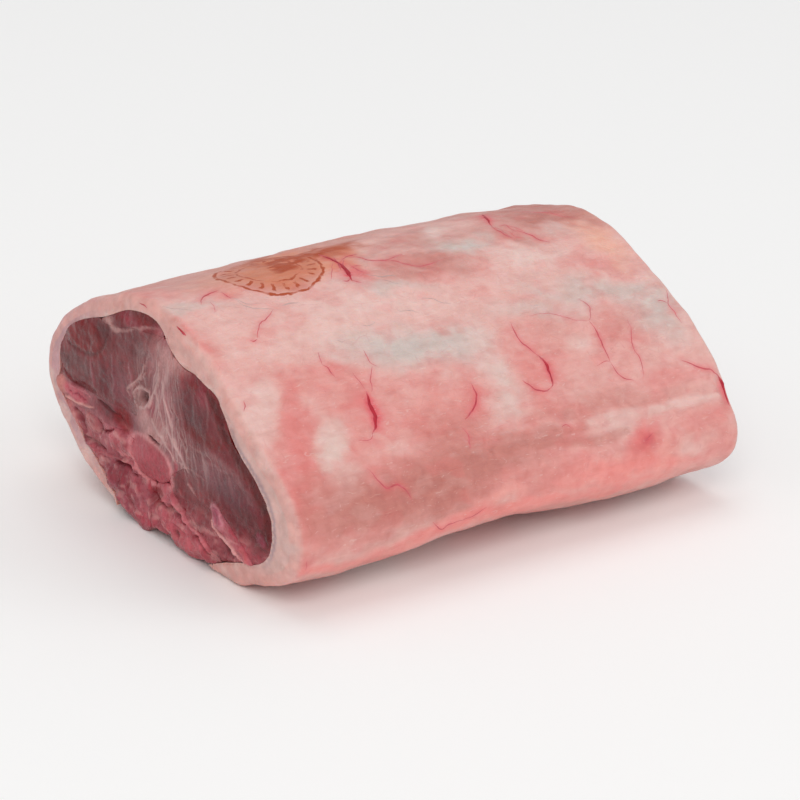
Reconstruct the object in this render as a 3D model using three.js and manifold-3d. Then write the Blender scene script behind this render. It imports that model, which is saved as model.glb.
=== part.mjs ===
// Raw lamb short loin: both loins on the bone, sawn square across at each end, lying on its belly side.
// The backbone runs along X, from the near cut face at -X to the far one at +X. Y is across, and Z is up.
// Left and right are as seen from the near face, so left is +Y. Sizes are in millimetres. The solids stand
// on z = 0, and the origin is under the middle of the loin.

import * as THREE from 'three';
import { mergeVertices } from 'three/addons/utils/BufferGeometryUtils.js';
import Module from 'manifold-3d';

// ---- driving dimensions -------------------------------------------------------------------------

const LENGTH = 188; // between the fullest points of the two cut faces
const WIDTH = 146; // across both loins and their fat
const HEIGHT = 80; // from the board to the top of the back, at the near face
const GAP = 0.3; // left between two pieces that touch

const RIM_RADIUS = 3; // the soft edge of the fat at each cut face
const FACE_SINK = 1.2; // the cut fat lies this far behind the fullest muscle
const OVERRUN = 8; // each piece is made this much too long, then cut by the face

const FAR_WIDER = 0.03; // the far end is wider by this share
const FAR_TALLER = 0.02; // and taller by this one
// The back rises a little behind the near face and drops again before the far one. From and to are shares
// of the length, and only what lies above this share of the height moves.
const BACK_LIFT = { by: 2, from: 0.05, to: 0.4 };
const BACK_DROP = { by: 3.2, from: 0.8, to: 1 };
const STEADY_BELOW = 0.45;

const SKIN_POINTS = 56; // round the outside
const SKIN_STEPS = 14; // along the outside
const RIM_STEPS = [0, 0.1, 0.35, 1]; // along the rounded rim, as shares of its radius
const LEAN_POINTS = 48; // round the inside of the fat
const LEAN_STEPS = 6; // along the inside
const FACE_CELL = 5.4; // a step of the relief on the cut faces

// ---- outlines of the cut face -------------------------------------------------------------------
// Each landmark is [share of the half width, share of the height], with the left side positive.

// The outside of the fat.
const SKIN = [
  [0.04, 1.0], // over the spine
  [-0.2, 0.93],
  [-0.46, 0.77], // right shoulder
  [-0.68, 0.64],
  [-0.88, 0.51],
  [-0.985, 0.37], // flank
  [-0.98, 0.22],
  [-0.85, 0.11],
  [-0.67, 0.045],
  [-0.51, -0.01], // belly flap of the right side, pressed flat on the board
  [-0.28, -0.015],
  [0, -0.015],
  [0.3, 0.01],
  [0.53, 0.065], // thin flap of the left side
  [0.71, 0.135],
  [0.88, 0.27],
  [1.01, 0.4],
  [1.035, 0.52],
  [0.97, 0.665],
  [0.84, 0.785],
  [0.63, 0.89],
  [0.4, 0.965],
  [0.2, 1.0],
];

// The inside of the fat, which is the outside of all the meat and bone.
const LEAN = [
  [0.1, 0.945], // top of the strap muscle
  [0.02, 0.875], // notch over the spine
  [-0.09, 0.805],
  [-0.25, 0.795],
  [-0.385, 0.75],
  [-0.46, 0.665],
  [-0.51, 0.595], // waist of the right loin
  [-0.63, 0.54],
  [-0.74, 0.465],
  [-0.81, 0.365],
  [-0.81, 0.25],
  [-0.74, 0.165],
  [-0.6, 0.13],
  [-0.45, 0.075],
  [-0.33, 0.03],
  [-0.16, 0.012],
  [-0.02, 0.03],
  [0.1, 0.04], // groove between the two tenderloins
  [0.2, -0.01],
  [0.32, 0.035],
  [0.44, 0.1],
  [0.58, 0.17],
  [0.73, 0.28],
  [0.83, 0.37],
  [0.93, 0.43], // tip of the left cross process
  [0.885, 0.52],
  [0.885, 0.61],
  [0.81, 0.71],
  [0.65, 0.795],
  [0.5, 0.84],
  [0.34, 0.92],
  [0.21, 0.945],
];

// The strap muscle lies over the left loin, beside the spine.
const STRAP = [
  [0.12, 0.96],
  [0.03, 0.885],
  [0.16, 0.875],
  [0.31, 0.855],
  [0.44, 0.82],
  [0.56, 0.82],
  [0.42, 0.9],
  [0.26, 0.965],
];

// The process that stands up from the vertebra, between the two loins.
const SPINE_BLADE = [
  [0.02, 0.91], // where it meets the back fat
  [-0.05, 0.78],
  [-0.04, 0.62],
  [-0.1, 0.5],
  [-0.15, 0.4],
  [-0.02, 0.33],
  [0.22, 0.36],
  [0.26, 0.46],
  [0.18, 0.6],
  [0.1, 0.75],
];

const VERTEBRA = { centre: [0.11, 0.345], wide: 26, tall: 17, tilt: -12 };
// A cross process is a tapering blade of bone that ends at the fat of the flank.
const LEFT_PROCESS = { root: [0.2, 0.43], tip: [0.97, 0.43], rootDepth: 8, tipDepth: 7 };
const RIGHT_PROCESS = { root: [-0.42, 0.265], tip: [-0.7, 0.125], rootDepth: 7, tipDepth: 3 };

// Seams between the muscles, each from the vertebra out to the fat.
const SPINE_SEAM = [[0.06, 0.6], [0.02, 0.9]];
const LEFT_SEAM = [LEFT_PROCESS.root, LEFT_PROCESS.tip];
const RIGHT_SEAM = [[-0.09, 0.22], [-0.23, 0.155], [-0.38, 0.11], [-0.5, 0.04]];
const BELLY_SEAM = [[0.115, 0]];

// Between the ends of its two belly flaps the fat is open, up to this height.
const BELLY = { right: -0.34, left: 0.4, top: 0.14 };

// ---- forms --------------------------------------------------------------------------------------
// Swellings (positive) and hollows (negative) of the skin on the right side, in millimetres. Height and
// along are each [middle, reach], as shares of the height and of the length.
const SKIN_FORMS = [
  { height: [0.06, 0.15], along: [0.47, 0.14], rise: -3.4 }, // the belly flap lifts off the board here
  { height: [0.06, 0.15], along: [0.2, 0.08], rise: 0.9 },
  { height: [0.06, 0.15], along: [0.8, 0.09], rise: 0.9 },
  { height: [0.47, 0.06], along: [1, 0.4], rise: -1.5 }, // crease above the belly flap
  { height: [0.72, 0.15], along: [1.1, 0.45], rise: 3.6 }, // fuller shoulder at the far end
];
const RIGHT_SIDE = { from: 0.2, to: 0.48 }; // where these forms fade in, as shares of the half width

// Swellings and hollows of the cut faces: place as a landmark, reach across and up, and rise.
const NEAR_FORMS = [
  { at: [0.62, 0.64], reach: [26, 15], rise: 1.5 }, // left loin
  { at: [-0.2, 0.66], reach: [16, 14], rise: 1.4 }, // right loin above its waist
  { at: [-0.55, 0.37], reach: [24, 15], rise: 1.6 }, // and below it
  { at: [0.25, 0.9], reach: [14, 5], rise: 1.2 }, // strap muscle
  { at: [0.11, 0.34], reach: [12, 8], rise: 1 }, // sawn vertebra
  { at: [0.19, 0.61], reach: [6, 5], rise: -2.6 }, // curled hollow beside the spine
  { at: [0.32, 0.44], reach: [5, 5], rise: -2.8 }, // pocket beside the vertebra
  { at: [0.07, 0.17], reach: [7, 5], rise: -3 }, // pocket under the vertebra
  { at: [0.42, 0.23], reach: [20, 5], rise: -1.8 }, // torn seam of the left tenderloin
  { at: [0.3, 0.1], reach: [14, 6], rise: 1.4 }, // left tenderloin
  { at: [-0.2, 0.1], reach: [22, 5], rise: 1.2 }, // right tenderloin
];
const FAR_FORMS = [
  { at: [0.55, 0.62], reach: [26, 16], rise: 1.6 }, // left loin
  { at: [-0.4, 0.5], reach: [28, 18], rise: 1.6 }, // right loin
  { at: [0.11, 0.34], reach: [12, 8], rise: 1 }, // sawn vertebra
  { at: [0.07, 0.16], reach: [8, 5], rise: -2.4 }, // pocket under the vertebra
  { at: [0.4, 0.16], reach: [16, 6], rise: 1.2 }, // left tenderloin
  { at: [-0.25, 0.12], reach: [20, 6], rise: 1.2 }, // right tenderloin
];

// ---- shape helpers ------------------------------------------------------------------------------

const wasm = await Module();
wasm.setup();

const across = (share) => (share * WIDTH) / 2;
const up = (share) => share * HEIGHT;
const place = ([side, height]) => new THREE.Vector2(across(side), up(height));
const along = (x) => x / LENGTH + 0.5; // 0 at the near face, 1 at the far one
const ease = (from, to, value) => THREE.MathUtils.smoothstep(value, from, to);
const hump = (distance) => Math.exp(-distance * distance);
const turned = (radius, angle, centre) =>
  new THREE.Vector2(radius, 0).rotateAround(new THREE.Vector2(), angle).add(centre);

/** A closed smooth outline through landmarks, evenly spaced and anticlockwise in Y and Z. */
function outline(landmarks, count) {
  const knots = landmarks.map((landmark) => new THREE.Vector3(...place(landmark), 0));
  const curve = new THREE.CatmullRomCurve3(knots, true, 'centripetal');
  const points = curve.getSpacedPoints(count).slice(0, count).map(({ x, y }) => new THREE.Vector2(x, y));
  return THREE.ShapeUtils.isClockWise(points) ? points.reverse() : points;
}

/** An outline moved outwards by what outwards(point) gives. */
function grown(points, outwards) {
  return points.map((point, i) => {
    const tangent = points[(i + 1) % points.length].clone().sub(points.at(i - 1)).normalize();
    return new THREE.Vector2(tangent.y, -tangent.x).multiplyScalar(outwards(point)).add(point);
  });
}

const cleared = (points) => grown(points, () => GAP);

/** Where a point of the near section lies at x: the loin widens, rises and drops along its length. */
function settled(x, y, z) {
  const t = along(x);
  const lift = BACK_LIFT.by * ease(BACK_LIFT.from, BACK_LIFT.to, t);
  const drop = BACK_DROP.by * ease(BACK_DROP.from, BACK_DROP.to, t);
  const height = z * (1 + FAR_TALLER * t) + (lift - drop) * ease(STEADY_BELOW, 1, z / HEIGHT);
  return new THREE.Vector3(x, y * (1 + FAR_WIDER * t), height);
}

function evenSteps(half, steps) {
  return Array.from({ length: steps + 1 }, (_, i) => THREE.MathUtils.lerp(-half, half, i / steps));
}

/** A closed solid through the outlines that pointsAt(x) gives at each station. */
function loft(xs, pointsAt) {
  const rings = xs.map((x) => pointsAt(x).map((p) => settled(x, p.x, p.y)));
  const count = rings[0].length;
  const corners = [];
  for (let ring = 0; ring < rings.length - 1; ring++) {
    for (let i = 0; i < count; i++) {
      const a = ring * count + i;
      const b = ring * count + ((i + 1) % count);
      corners.push(a, b, b + count, a, b + count, a + count);
    }
  }
  const last = (rings.length - 1) * count;
  const cap = (ring) => THREE.ShapeUtils.triangulateShape(ring.map((p) => new THREE.Vector2(p.y, p.z)), []);
  corners.push(...cap(rings[0]).flatMap(([a, b, c]) => [a, c, b]));
  corners.push(...cap(rings.at(-1)).flat().map((corner) => last + corner));
  const geometry = new THREE.BufferGeometry().setFromPoints(rings.flat());
  geometry.setIndex(corners);
  return solid(geometry);
}

/** A closed solid over one outline, longer than the loin. */
const prism = (points) => loft(evenSteps(LENGTH / 2 + OVERRUN, LEAN_STEPS), () => points);

function solid(geometry) {
  geometry.deleteAttribute('normal');
  geometry.deleteAttribute('uv');
  const merged = mergeVertices(geometry);
  const vertProperties = new Float32Array(merged.attributes.position.array);
  const triVerts = new Uint32Array(merged.index.array);
  return new wasm.Manifold(new wasm.Mesh({ numProp: 3, vertProperties, triVerts }));
}

function geometryOf(manifold) {
  const mesh = manifold.getMesh();
  const geometry = new THREE.BufferGeometry();
  geometry.setAttribute('position', new THREE.BufferAttribute(mesh.vertProperties, 3));
  geometry.setIndex(new THREE.BufferAttribute(mesh.triVerts, 1));
  return geometry;
}

// ---- what shapes the pieces ---------------------------------------------------------------------

/** How far the skin stands out of its plain outline at a point of the section. */
function skinRise(x, point) {
  const t = along(x);
  const height = point.y / HEIGHT;
  const shown = ease(RIGHT_SIDE.from, RIGHT_SIDE.to, -point.x / across(1));
  const forms = SKIN_FORMS.map((form) => form.rise
    * hump((height - form.height[0]) / form.height[1]) * hump((t - form.along[0]) / form.along[1]));
  const inRim = Math.max(0, RIM_RADIUS - (LENGTH / 2 - FACE_SINK - Math.abs(x)));
  const rim = RIM_RADIUS - Math.sqrt(Math.max(0, RIM_RADIUS ** 2 - inRim ** 2));
  return shown * forms.reduce((sum, rise) => sum + rise) - rim;
}

function skinStations() {
  const end = LENGTH / 2 - FACE_SINK;
  const rim = RIM_STEPS.map((share) => end - RIM_RADIUS * share);
  const middle = evenSteps(end - RIM_RADIUS, SKIN_STEPS).slice(1, -1);
  return [...rim.map((x) => -x), ...middle, ...rim.reverse()];
}

/** A tapering blade with both ends rounded, as an outline. */
function blade({ root, tip, rootDepth, tipDepth }) {
  const heading = place(tip).sub(place(root)).angle();
  const roundEnd = (end, depth, from) =>
    evenSteps(Math.PI / 2, 4).map((turn) => turned(depth / 2, heading + from + turn, place(end)));
  return [...roundEnd(root, rootDepth, Math.PI), ...roundEnd(tip, tipDepth, 0)];
}

/** The sawn body of the vertebra, as an outline. */
function vertebra({ centre, wide, tall, tilt }) {
  const { x, y } = place(centre);
  const turn = THREE.MathUtils.degToRad(tilt);
  const sides = 18;
  return new THREE.EllipseCurve(x, y, wide / 2, tall / 2, 0, Math.PI * 2, false, turn)
    .getPoints(sides).slice(0, sides);
}

/** How far a cut face stands out of the plane of the cut fat. */
function faceRise(forms, y, z) {
  const rises = forms.map(({ at, reach, rise }) => {
    const middle = place(at);
    return rise * hump(Math.hypot((y - middle.x) / reach[0], (z - middle.y) / reach[1]));
  });
  return Math.min(FACE_SINK, rises.reduce((sum, rise) => sum + rise));
}

/** The block between the two cut faces, with the relief on both, standing on the board. */
function betweenFaces() {
  const wide = WIDTH * 1.2;
  const tall = HEIGHT * 1.3;
  const cells = [wide, tall].map((size) => Math.round(size / FACE_CELL));
  const block = new THREE.BoxGeometry(LENGTH - 2 * FACE_SINK, wide, tall, 1, ...cells);
  block.translate(0, 0, tall / 2);
  const corner = block.attributes.position;
  for (let i = 0; i < corner.count; i++) {
    const end = Math.sign(corner.getX(i));
    const rise = faceRise(end < 0 ? NEAR_FORMS : FAR_FORMS, corner.getY(i), corner.getZ(i));
    corner.setX(i, corner.getX(i) + end * rise);
  }
  return solid(block);
}

/** The part of the section from one seam round to another, out past the fat, as an outline. */
function between(fromSeam, toSeam) {
  const centre = place(VERTEBRA.centre);
  const [start, end] = [fromSeam, toSeam].map((seam) => place(seam.at(-1)).sub(centre).angle());
  const sweep = (end - start + Math.PI * 2) % (Math.PI * 2);
  const far = evenSteps(sweep / 2, 6).map((turn) => turned(WIDTH, start + sweep / 2 + turn, centre));
  const corners = [centre, ...fromSeam.map(place), ...far, ...toSeam.map(place).reverse()];
  return grown(corners, () => -GAP / 2);
}

// ---- the pieces ---------------------------------------------------------------------------------

const join = (solids) => solids.reduce((sum, piece) => sum.add(piece));

const skin = outline(SKIN, SKIN_POINTS);
const lean = outline(LEAN, LEAN_POINTS);
const strap = outline(STRAP, 22);
const bones = [outline(SPINE_BLADE, 24), vertebra(VERTEBRA), blade(LEFT_PROCESS)];
const freeBone = blade(RIGHT_PROCESS);
const belly = [
  [BELLY.right, -BELLY.top],
  [BELLY.left, -BELLY.top],
  [BELLY.left, BELLY.top],
  [BELLY.right, BELLY.top],
].map(place);

const faces = betweenFaces();
const meat = prism(lean);
const skinSolid = loft(skinStations(), (x) => grown(skin, (point) => skinRise(x, point)));
const leanRoom = join([cleared(lean), belly].map(prism));
const boneRoom = join([...bones, freeBone].map(cleared).map(prism));
const muscle = (fromSeam, toSeam) => meat.intersect(prism(between(fromSeam, toSeam))).subtract(boneRoom);

const pieces = {
  fat_cover: [0xdfa8a0, skinSolid.subtract(leanRoom)],
  loin_muscle_left: [0x6f4346, muscle(LEFT_SEAM, SPINE_SEAM).subtract(prism(cleared(strap)))],
  loin_muscle_right: [0x6b3f48, muscle(SPINE_SEAM, RIGHT_SEAM)],
  strap_muscle: [0x7a3b3f, meat.intersect(prism(strap)).subtract(boneRoom)],
  tenderloin_right: [0x84323f, muscle(RIGHT_SEAM, BELLY_SEAM)],
  tenderloin_left: [0x84323f, muscle(BELLY_SEAM, LEFT_SEAM)],
  backbone: [0xb0666c, meat.intersect(join(bones.map(prism)))],
  cross_process_right: [0xb87f7f, meat.intersect(prism(freeBone))],
};

const loin = new THREE.Group();
for (const [name, [color, uncut]] of Object.entries(pieces)) {
  const [largest] = uncut.intersect(faces).decompose().sort((a, b) => b.volume() - a.volume());
  const material = new THREE.MeshStandardMaterial({ color, roughness: 0.45, metalness: 0 });
  const mesh = new THREE.Mesh(geometryOf(largest), material);
  mesh.name = name;
  loin.add(mesh);
}
const box = new THREE.Box3().setFromObject(loin);
loin.position.set(-(box.min.x + box.max.x) / 2, -(box.min.y + box.max.y) / 2, -box.min.z);

export default loin;
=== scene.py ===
"""A raw lamb short loin, dressed over the solids of the frame.

The fat, each muscle and each bone is a bar that runs from the near cut face to the far one. A bar takes its
section from its own solid, then gets a fine surface, a fine cut face at both ends, and its colours. Lengths
are in millimetres until a mesh is made. X runs along the backbone, Y across and Z up.
"""

import math

import bmesh
import bpy
import numpy as np
from mathutils import Matrix, Vector
from mathutils.bvhtree import BVHTree
from mathutils.geometry import delaunay_2d_cdt
from mathutils.kdtree import KDTree


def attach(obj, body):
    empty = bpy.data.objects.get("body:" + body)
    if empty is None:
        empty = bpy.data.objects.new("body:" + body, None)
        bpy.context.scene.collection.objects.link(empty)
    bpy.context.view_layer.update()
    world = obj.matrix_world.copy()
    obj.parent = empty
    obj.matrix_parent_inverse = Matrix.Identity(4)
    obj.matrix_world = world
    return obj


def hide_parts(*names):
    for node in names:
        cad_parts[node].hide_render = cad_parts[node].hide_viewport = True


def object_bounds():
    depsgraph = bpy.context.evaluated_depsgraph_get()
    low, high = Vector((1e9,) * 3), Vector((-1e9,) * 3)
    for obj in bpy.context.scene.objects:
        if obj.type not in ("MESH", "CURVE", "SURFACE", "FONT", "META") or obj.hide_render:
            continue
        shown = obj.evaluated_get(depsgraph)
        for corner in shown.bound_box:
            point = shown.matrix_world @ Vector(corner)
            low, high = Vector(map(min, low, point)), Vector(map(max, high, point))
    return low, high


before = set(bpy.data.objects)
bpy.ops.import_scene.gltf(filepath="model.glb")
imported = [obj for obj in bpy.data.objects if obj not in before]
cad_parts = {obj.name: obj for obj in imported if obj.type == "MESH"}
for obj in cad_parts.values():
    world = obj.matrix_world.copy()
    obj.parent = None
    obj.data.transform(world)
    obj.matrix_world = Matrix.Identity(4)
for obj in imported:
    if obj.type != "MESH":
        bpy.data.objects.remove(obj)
CAD_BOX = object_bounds()

MM = 0.001
LOWEST, HIGHEST = (np.array(corner) / MM for corner in CAD_BOX)
LENGTH = HIGHEST[0] - LOWEST[0]
HALF = LENGTH / 2


# ---- small tools ------------------------------------------------------------------------------------


def linear(colour):
    """An sRGB hex colour as linear red, green and blue."""
    parts = np.array([int(colour[i : i + 2], 16) / 255 for i in (1, 3, 5)])
    return np.where(parts <= 0.04045, parts / 12.92, ((parts + 0.055) / 1.055) ** 2.4)


def ease(start, end, value):
    """0 at start and before it, 1 at end and past it, and smooth in between."""
    share = np.clip((value - start) / (end - start), 0, 1)
    return share * share * (3 - 2 * share)


LATTICE = 32
OCTAVES = 2
ASKEW = np.array(Matrix.Rotation(0.7, 3, Vector((1, 2, 3))))  # turns the lattice out of line with the axes


def lumps(places, size, seed):
    """Smooth noise from about -1 to 1, with lumps of this size; size may differ along each axis."""
    table = np.random.default_rng(seed).uniform(-1.4, 1.4, (LATTICE,) * 3)
    total = np.zeros(len(places))
    spots = places / np.asarray(size) @ ASKEW
    for octave in range(OCTAVES):
        low = np.floor(spots).astype(int)
        part = spots - low
        part = part * part * (3 - 2 * part)
        for corner in np.ndindex(2, 2, 2):
            share = np.prod(np.where(corner, part, 1 - part), axis=1)
            total += share * table[tuple(((low + corner) % LATTICE).T)] / 2**octave
        spots = 2 * spots @ ASKEW + 7.3
    return total


def shifted(spots, places, reach, size, seed):
    """Spots on a plane, moved here and there by up to about reach, each by the noise at its place."""
    return spots + reach * np.column_stack([lumps(places, size, seed), lumps(places, size, seed + 1)])


def softened(loop, spacing, radius):
    """A closed outline of evenly spaced points, with everything finer than radius smoothed away."""
    spots = loop[:, 0] + 1j * loop[:, 1]
    waves = np.fft.fftfreq(len(spots), spacing) * 2 * np.pi
    spots = np.fft.ifft(np.fft.fft(spots) * np.exp(-((waves * radius) ** 2) / 2))
    return np.stack([spots.real, spots.imag], 1)


def blurred(rows, radius):
    """Rows smoothed along their first axis; radius is in rows."""
    reach = int(math.ceil(3 * radius))
    bell = np.exp(-0.5 * (np.arange(-reach, reach + 1) / radius) ** 2)
    bell /= bell.sum()
    padded = np.concatenate([rows[:1]] * reach + [rows] + [rows[-1:]] * reach)
    return sum(share * padded[i : i + len(rows)] for i, share in enumerate(bell))


def along(loop, shares):
    """Points on a closed outline at these shares of its length."""
    closed = np.vstack([loop, loop[:1]])
    steps = np.linalg.norm(np.diff(closed, axis=0), axis=1)
    gone = np.concatenate([[0], np.cumsum(steps)]) / steps.sum()
    return np.stack([np.interp(shares, gone, closed[:, i]) for i in range(closed.shape[1])], 1)


def nearest(places, others):
    """The distance from each place to the nearest of the others, and which one that is."""
    tree = KDTree(len(others))
    for i, other in enumerate(others):
        tree.insert(Vector((*other, 0)[:3]), i)
    tree.balance()
    found = [tree.find(Vector((*place, 0)[:3])) for place in places]
    return np.array([hit[2] for hit in found]), np.array([hit[1] for hit in found])


def curve_through(knots, step):
    """A smooth line through these points, with points about step apart."""
    knots = np.asarray(knots, float)
    if len(knots) < 3:
        count = max(2, int(np.linalg.norm(knots[1] - knots[0]) / step))
        return knots[0] + np.linspace(0, 1, count)[:, None] * (knots[1] - knots[0])
    ends = np.vstack([2 * knots[0] - knots[1], knots, 2 * knots[-1] - knots[-2]])
    line = []
    for a, b, c, d in zip(ends, ends[1:], ends[2:], ends[3:]):
        t = np.linspace(0, 1, max(2, int(np.linalg.norm(c - b) / step)), endpoint=False)[:, None]
        line.append(
            0.5 * (2 * b + (c - a) * t + (2 * a - 5 * b + 4 * c - d) * t**2 + (3 * b - a - 3 * c + d) * t**3)
        )
    return np.vstack([*line, knots[-1:]])


def put_in_scene(name, data):
    made = bpy.data.objects.new(name, data)
    bpy.context.scene.collection.objects.link(made)
    return made


# ---- the solids of the frame ------------------------------------------------------------------------


def welded(node):
    """The corners and triangles of a solid, each corner once."""
    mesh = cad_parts[node].data
    mesh.calc_loop_triangles()
    corners = np.array([corner.co for corner in mesh.vertices]) / MM
    triangles = np.array([triangle.vertices[:] for triangle in mesh.loop_triangles])
    places, same = np.unique(corners.round(3), axis=0, return_inverse=True)
    return places, same.reshape(-1)[triangles]


SOLIDS = {node: welded(node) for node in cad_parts}


def section(node, x):
    """The closed outline in which the plane at x cuts a solid, as points across and up."""
    places, triangles = SOLIDS[node]
    past = places[:, 0] > x
    crossed = triangles[past[triangles].any(1) & ~past[triangles].all(1)]
    spots, after = {}, {}
    for triangle in crossed:
        ends = {}
        for a, b in zip(triangle, np.roll(triangle, -1)):
            if past[a] == past[b]:
                continue
            edge = (min(a, b), max(a, b))
            low, high = places[edge[0]], places[edge[1]]
            spots[edge] = (low + (high - low) * (x - low[0]) / (high[0] - low[0]))[1:]
            ends[bool(past[a])] = edge
        after[ends[True]] = ends[False]
    loops = []
    while after:
        edge, following = after.popitem()
        loop = [edge]
        while following in after:
            loop.append(following)
            following = after.pop(following)
        loops.append(np.array([spots[edge] for edge in loop]))
    return max(loops, key=len)


OUTLINE_STEP = 0.5
SOFTER_UP = (6, 16)  # mm above the board, from where an outline gets softer to where it is softest


def outline(node, x, start, soft, softest):
    """The smooth outline of a solid at x, from the point nearest start on, with points OUTLINE_STEP apart.

    It is softened by soft near the board, and by softest further up."""
    loop = section(node, x)
    length = np.linalg.norm(loop - np.roll(loop, 1, 0), axis=1).sum()
    count = int(length / OUTLINE_STEP)
    even = along(loop, np.arange(count) / count)
    fine, broad = (softened(even, length / count, radius) for radius in (soft, softest))
    up = ease(*SOFTER_UP, even[:, 1:])
    even = fine * (1 - up) + broad * up
    first = np.argmin(np.linalg.norm(even - start, axis=1))
    return np.roll(even, -first, 0)


# ---- the camera -------------------------------------------------------------------------------------
# It stands where the photograph's camera stood, found by matching the outline of the loin.

CAMERA_TARGET = np.array([-1.5, -4.2, 33.8])
CAMERA_DISTANCE = 1063.75
CAMERA_AZIMUTH, CAMERA_ELEVATION, CAMERA_ROLL = np.radians([-38.4, 21.5, 2.5])
PHOTO_SIDE = 800
FOCAL_PIXELS = 3127.3
SENSOR = 36
PHOTO_CENTRE = np.array([395.8, 396.6])  # the pixel on the camera's axis

BACK = np.array([
    math.sin(CAMERA_AZIMUTH) * math.cos(CAMERA_ELEVATION),
    -math.cos(CAMERA_AZIMUTH) * math.cos(CAMERA_ELEVATION),
    math.sin(CAMERA_ELEVATION),
])
level = np.array([math.cos(CAMERA_AZIMUTH), math.sin(CAMERA_AZIMUTH), 0])
upright = np.cross(BACK, level)
RIGHT = level * math.cos(CAMERA_ROLL) + upright * math.sin(CAMERA_ROLL)
UP = upright * math.cos(CAMERA_ROLL) - level * math.sin(CAMERA_ROLL)
CAMERA_PLACE = CAMERA_TARGET + CAMERA_DISTANCE * BACK


def pixels_of(places):
    """Where places are seen in the photograph."""
    seen = places - CAMERA_PLACE
    depth = -seen @ BACK
    across, up = seen @ RIGHT, seen @ UP
    return PHOTO_CENTRE + FOCAL_PIXELS * np.stack([across, -up], 1) / depth[:, None]


def sight(pixel):
    """The direction in which the camera sees a pixel of the photograph."""
    right, down = (np.array(pixel) - PHOTO_CENTRE) / FOCAL_PIXELS
    return Vector(RIGHT * right - UP * down - BACK).normalized()


def make_camera():
    camera = put_in_scene("camera", bpy.data.cameras.new("camera"))
    camera.data.sensor_width = SENSOR
    camera.data.lens = FOCAL_PIXELS / PHOTO_SIDE * SENSOR
    camera.data.shift_x, camera.data.shift_y = (PHOTO_SIDE / 2 - PHOTO_CENTRE) / PHOTO_SIDE * (1, -1)
    turn = Matrix((RIGHT, UP, BACK)).transposed().to_4x4()
    camera.matrix_world = Matrix.Translation(CAMERA_PLACE * MM) @ turn
    bpy.context.scene.camera = camera


# ---- marks on the cut faces -------------------------------------------------------------------------
# Places are across and up from the foot of the spine on the near face, with the left side positive. A spot
# has a middle, a reach each way and a turn in degrees; a strand has points and a width. Each has a colour
# with its strength, and a rise.

SPINE_Y = -1.5  # where the foot of the spine lies in the frame


def spot(middle, reach, turn, colour=None, strength=1.0, rise=0.0, soft=0.5):
    return dict(middle=middle, reach=reach, turn=turn, soft=soft, colour=colour, strength=strength, rise=rise)


def strand(points, width, colour=None, strength=1.0, rise=0.0):
    return dict(points=points, width=width, colour=colour, strength=strength, rise=rise)


# A near-black red laid into the deepest hollows of the cut faces: painted shade.
HOLLOW_SHADE = "#4A1F28"

VERTEBRA = spot((9.2, 25.9), (12.5, 7.5), 8, "#A6535B", 0.97, soft=0.1)
ROUND_VERTEBRA = spot(VERTEBRA["middle"], (16, 10), 0, soft=0.2)

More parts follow.
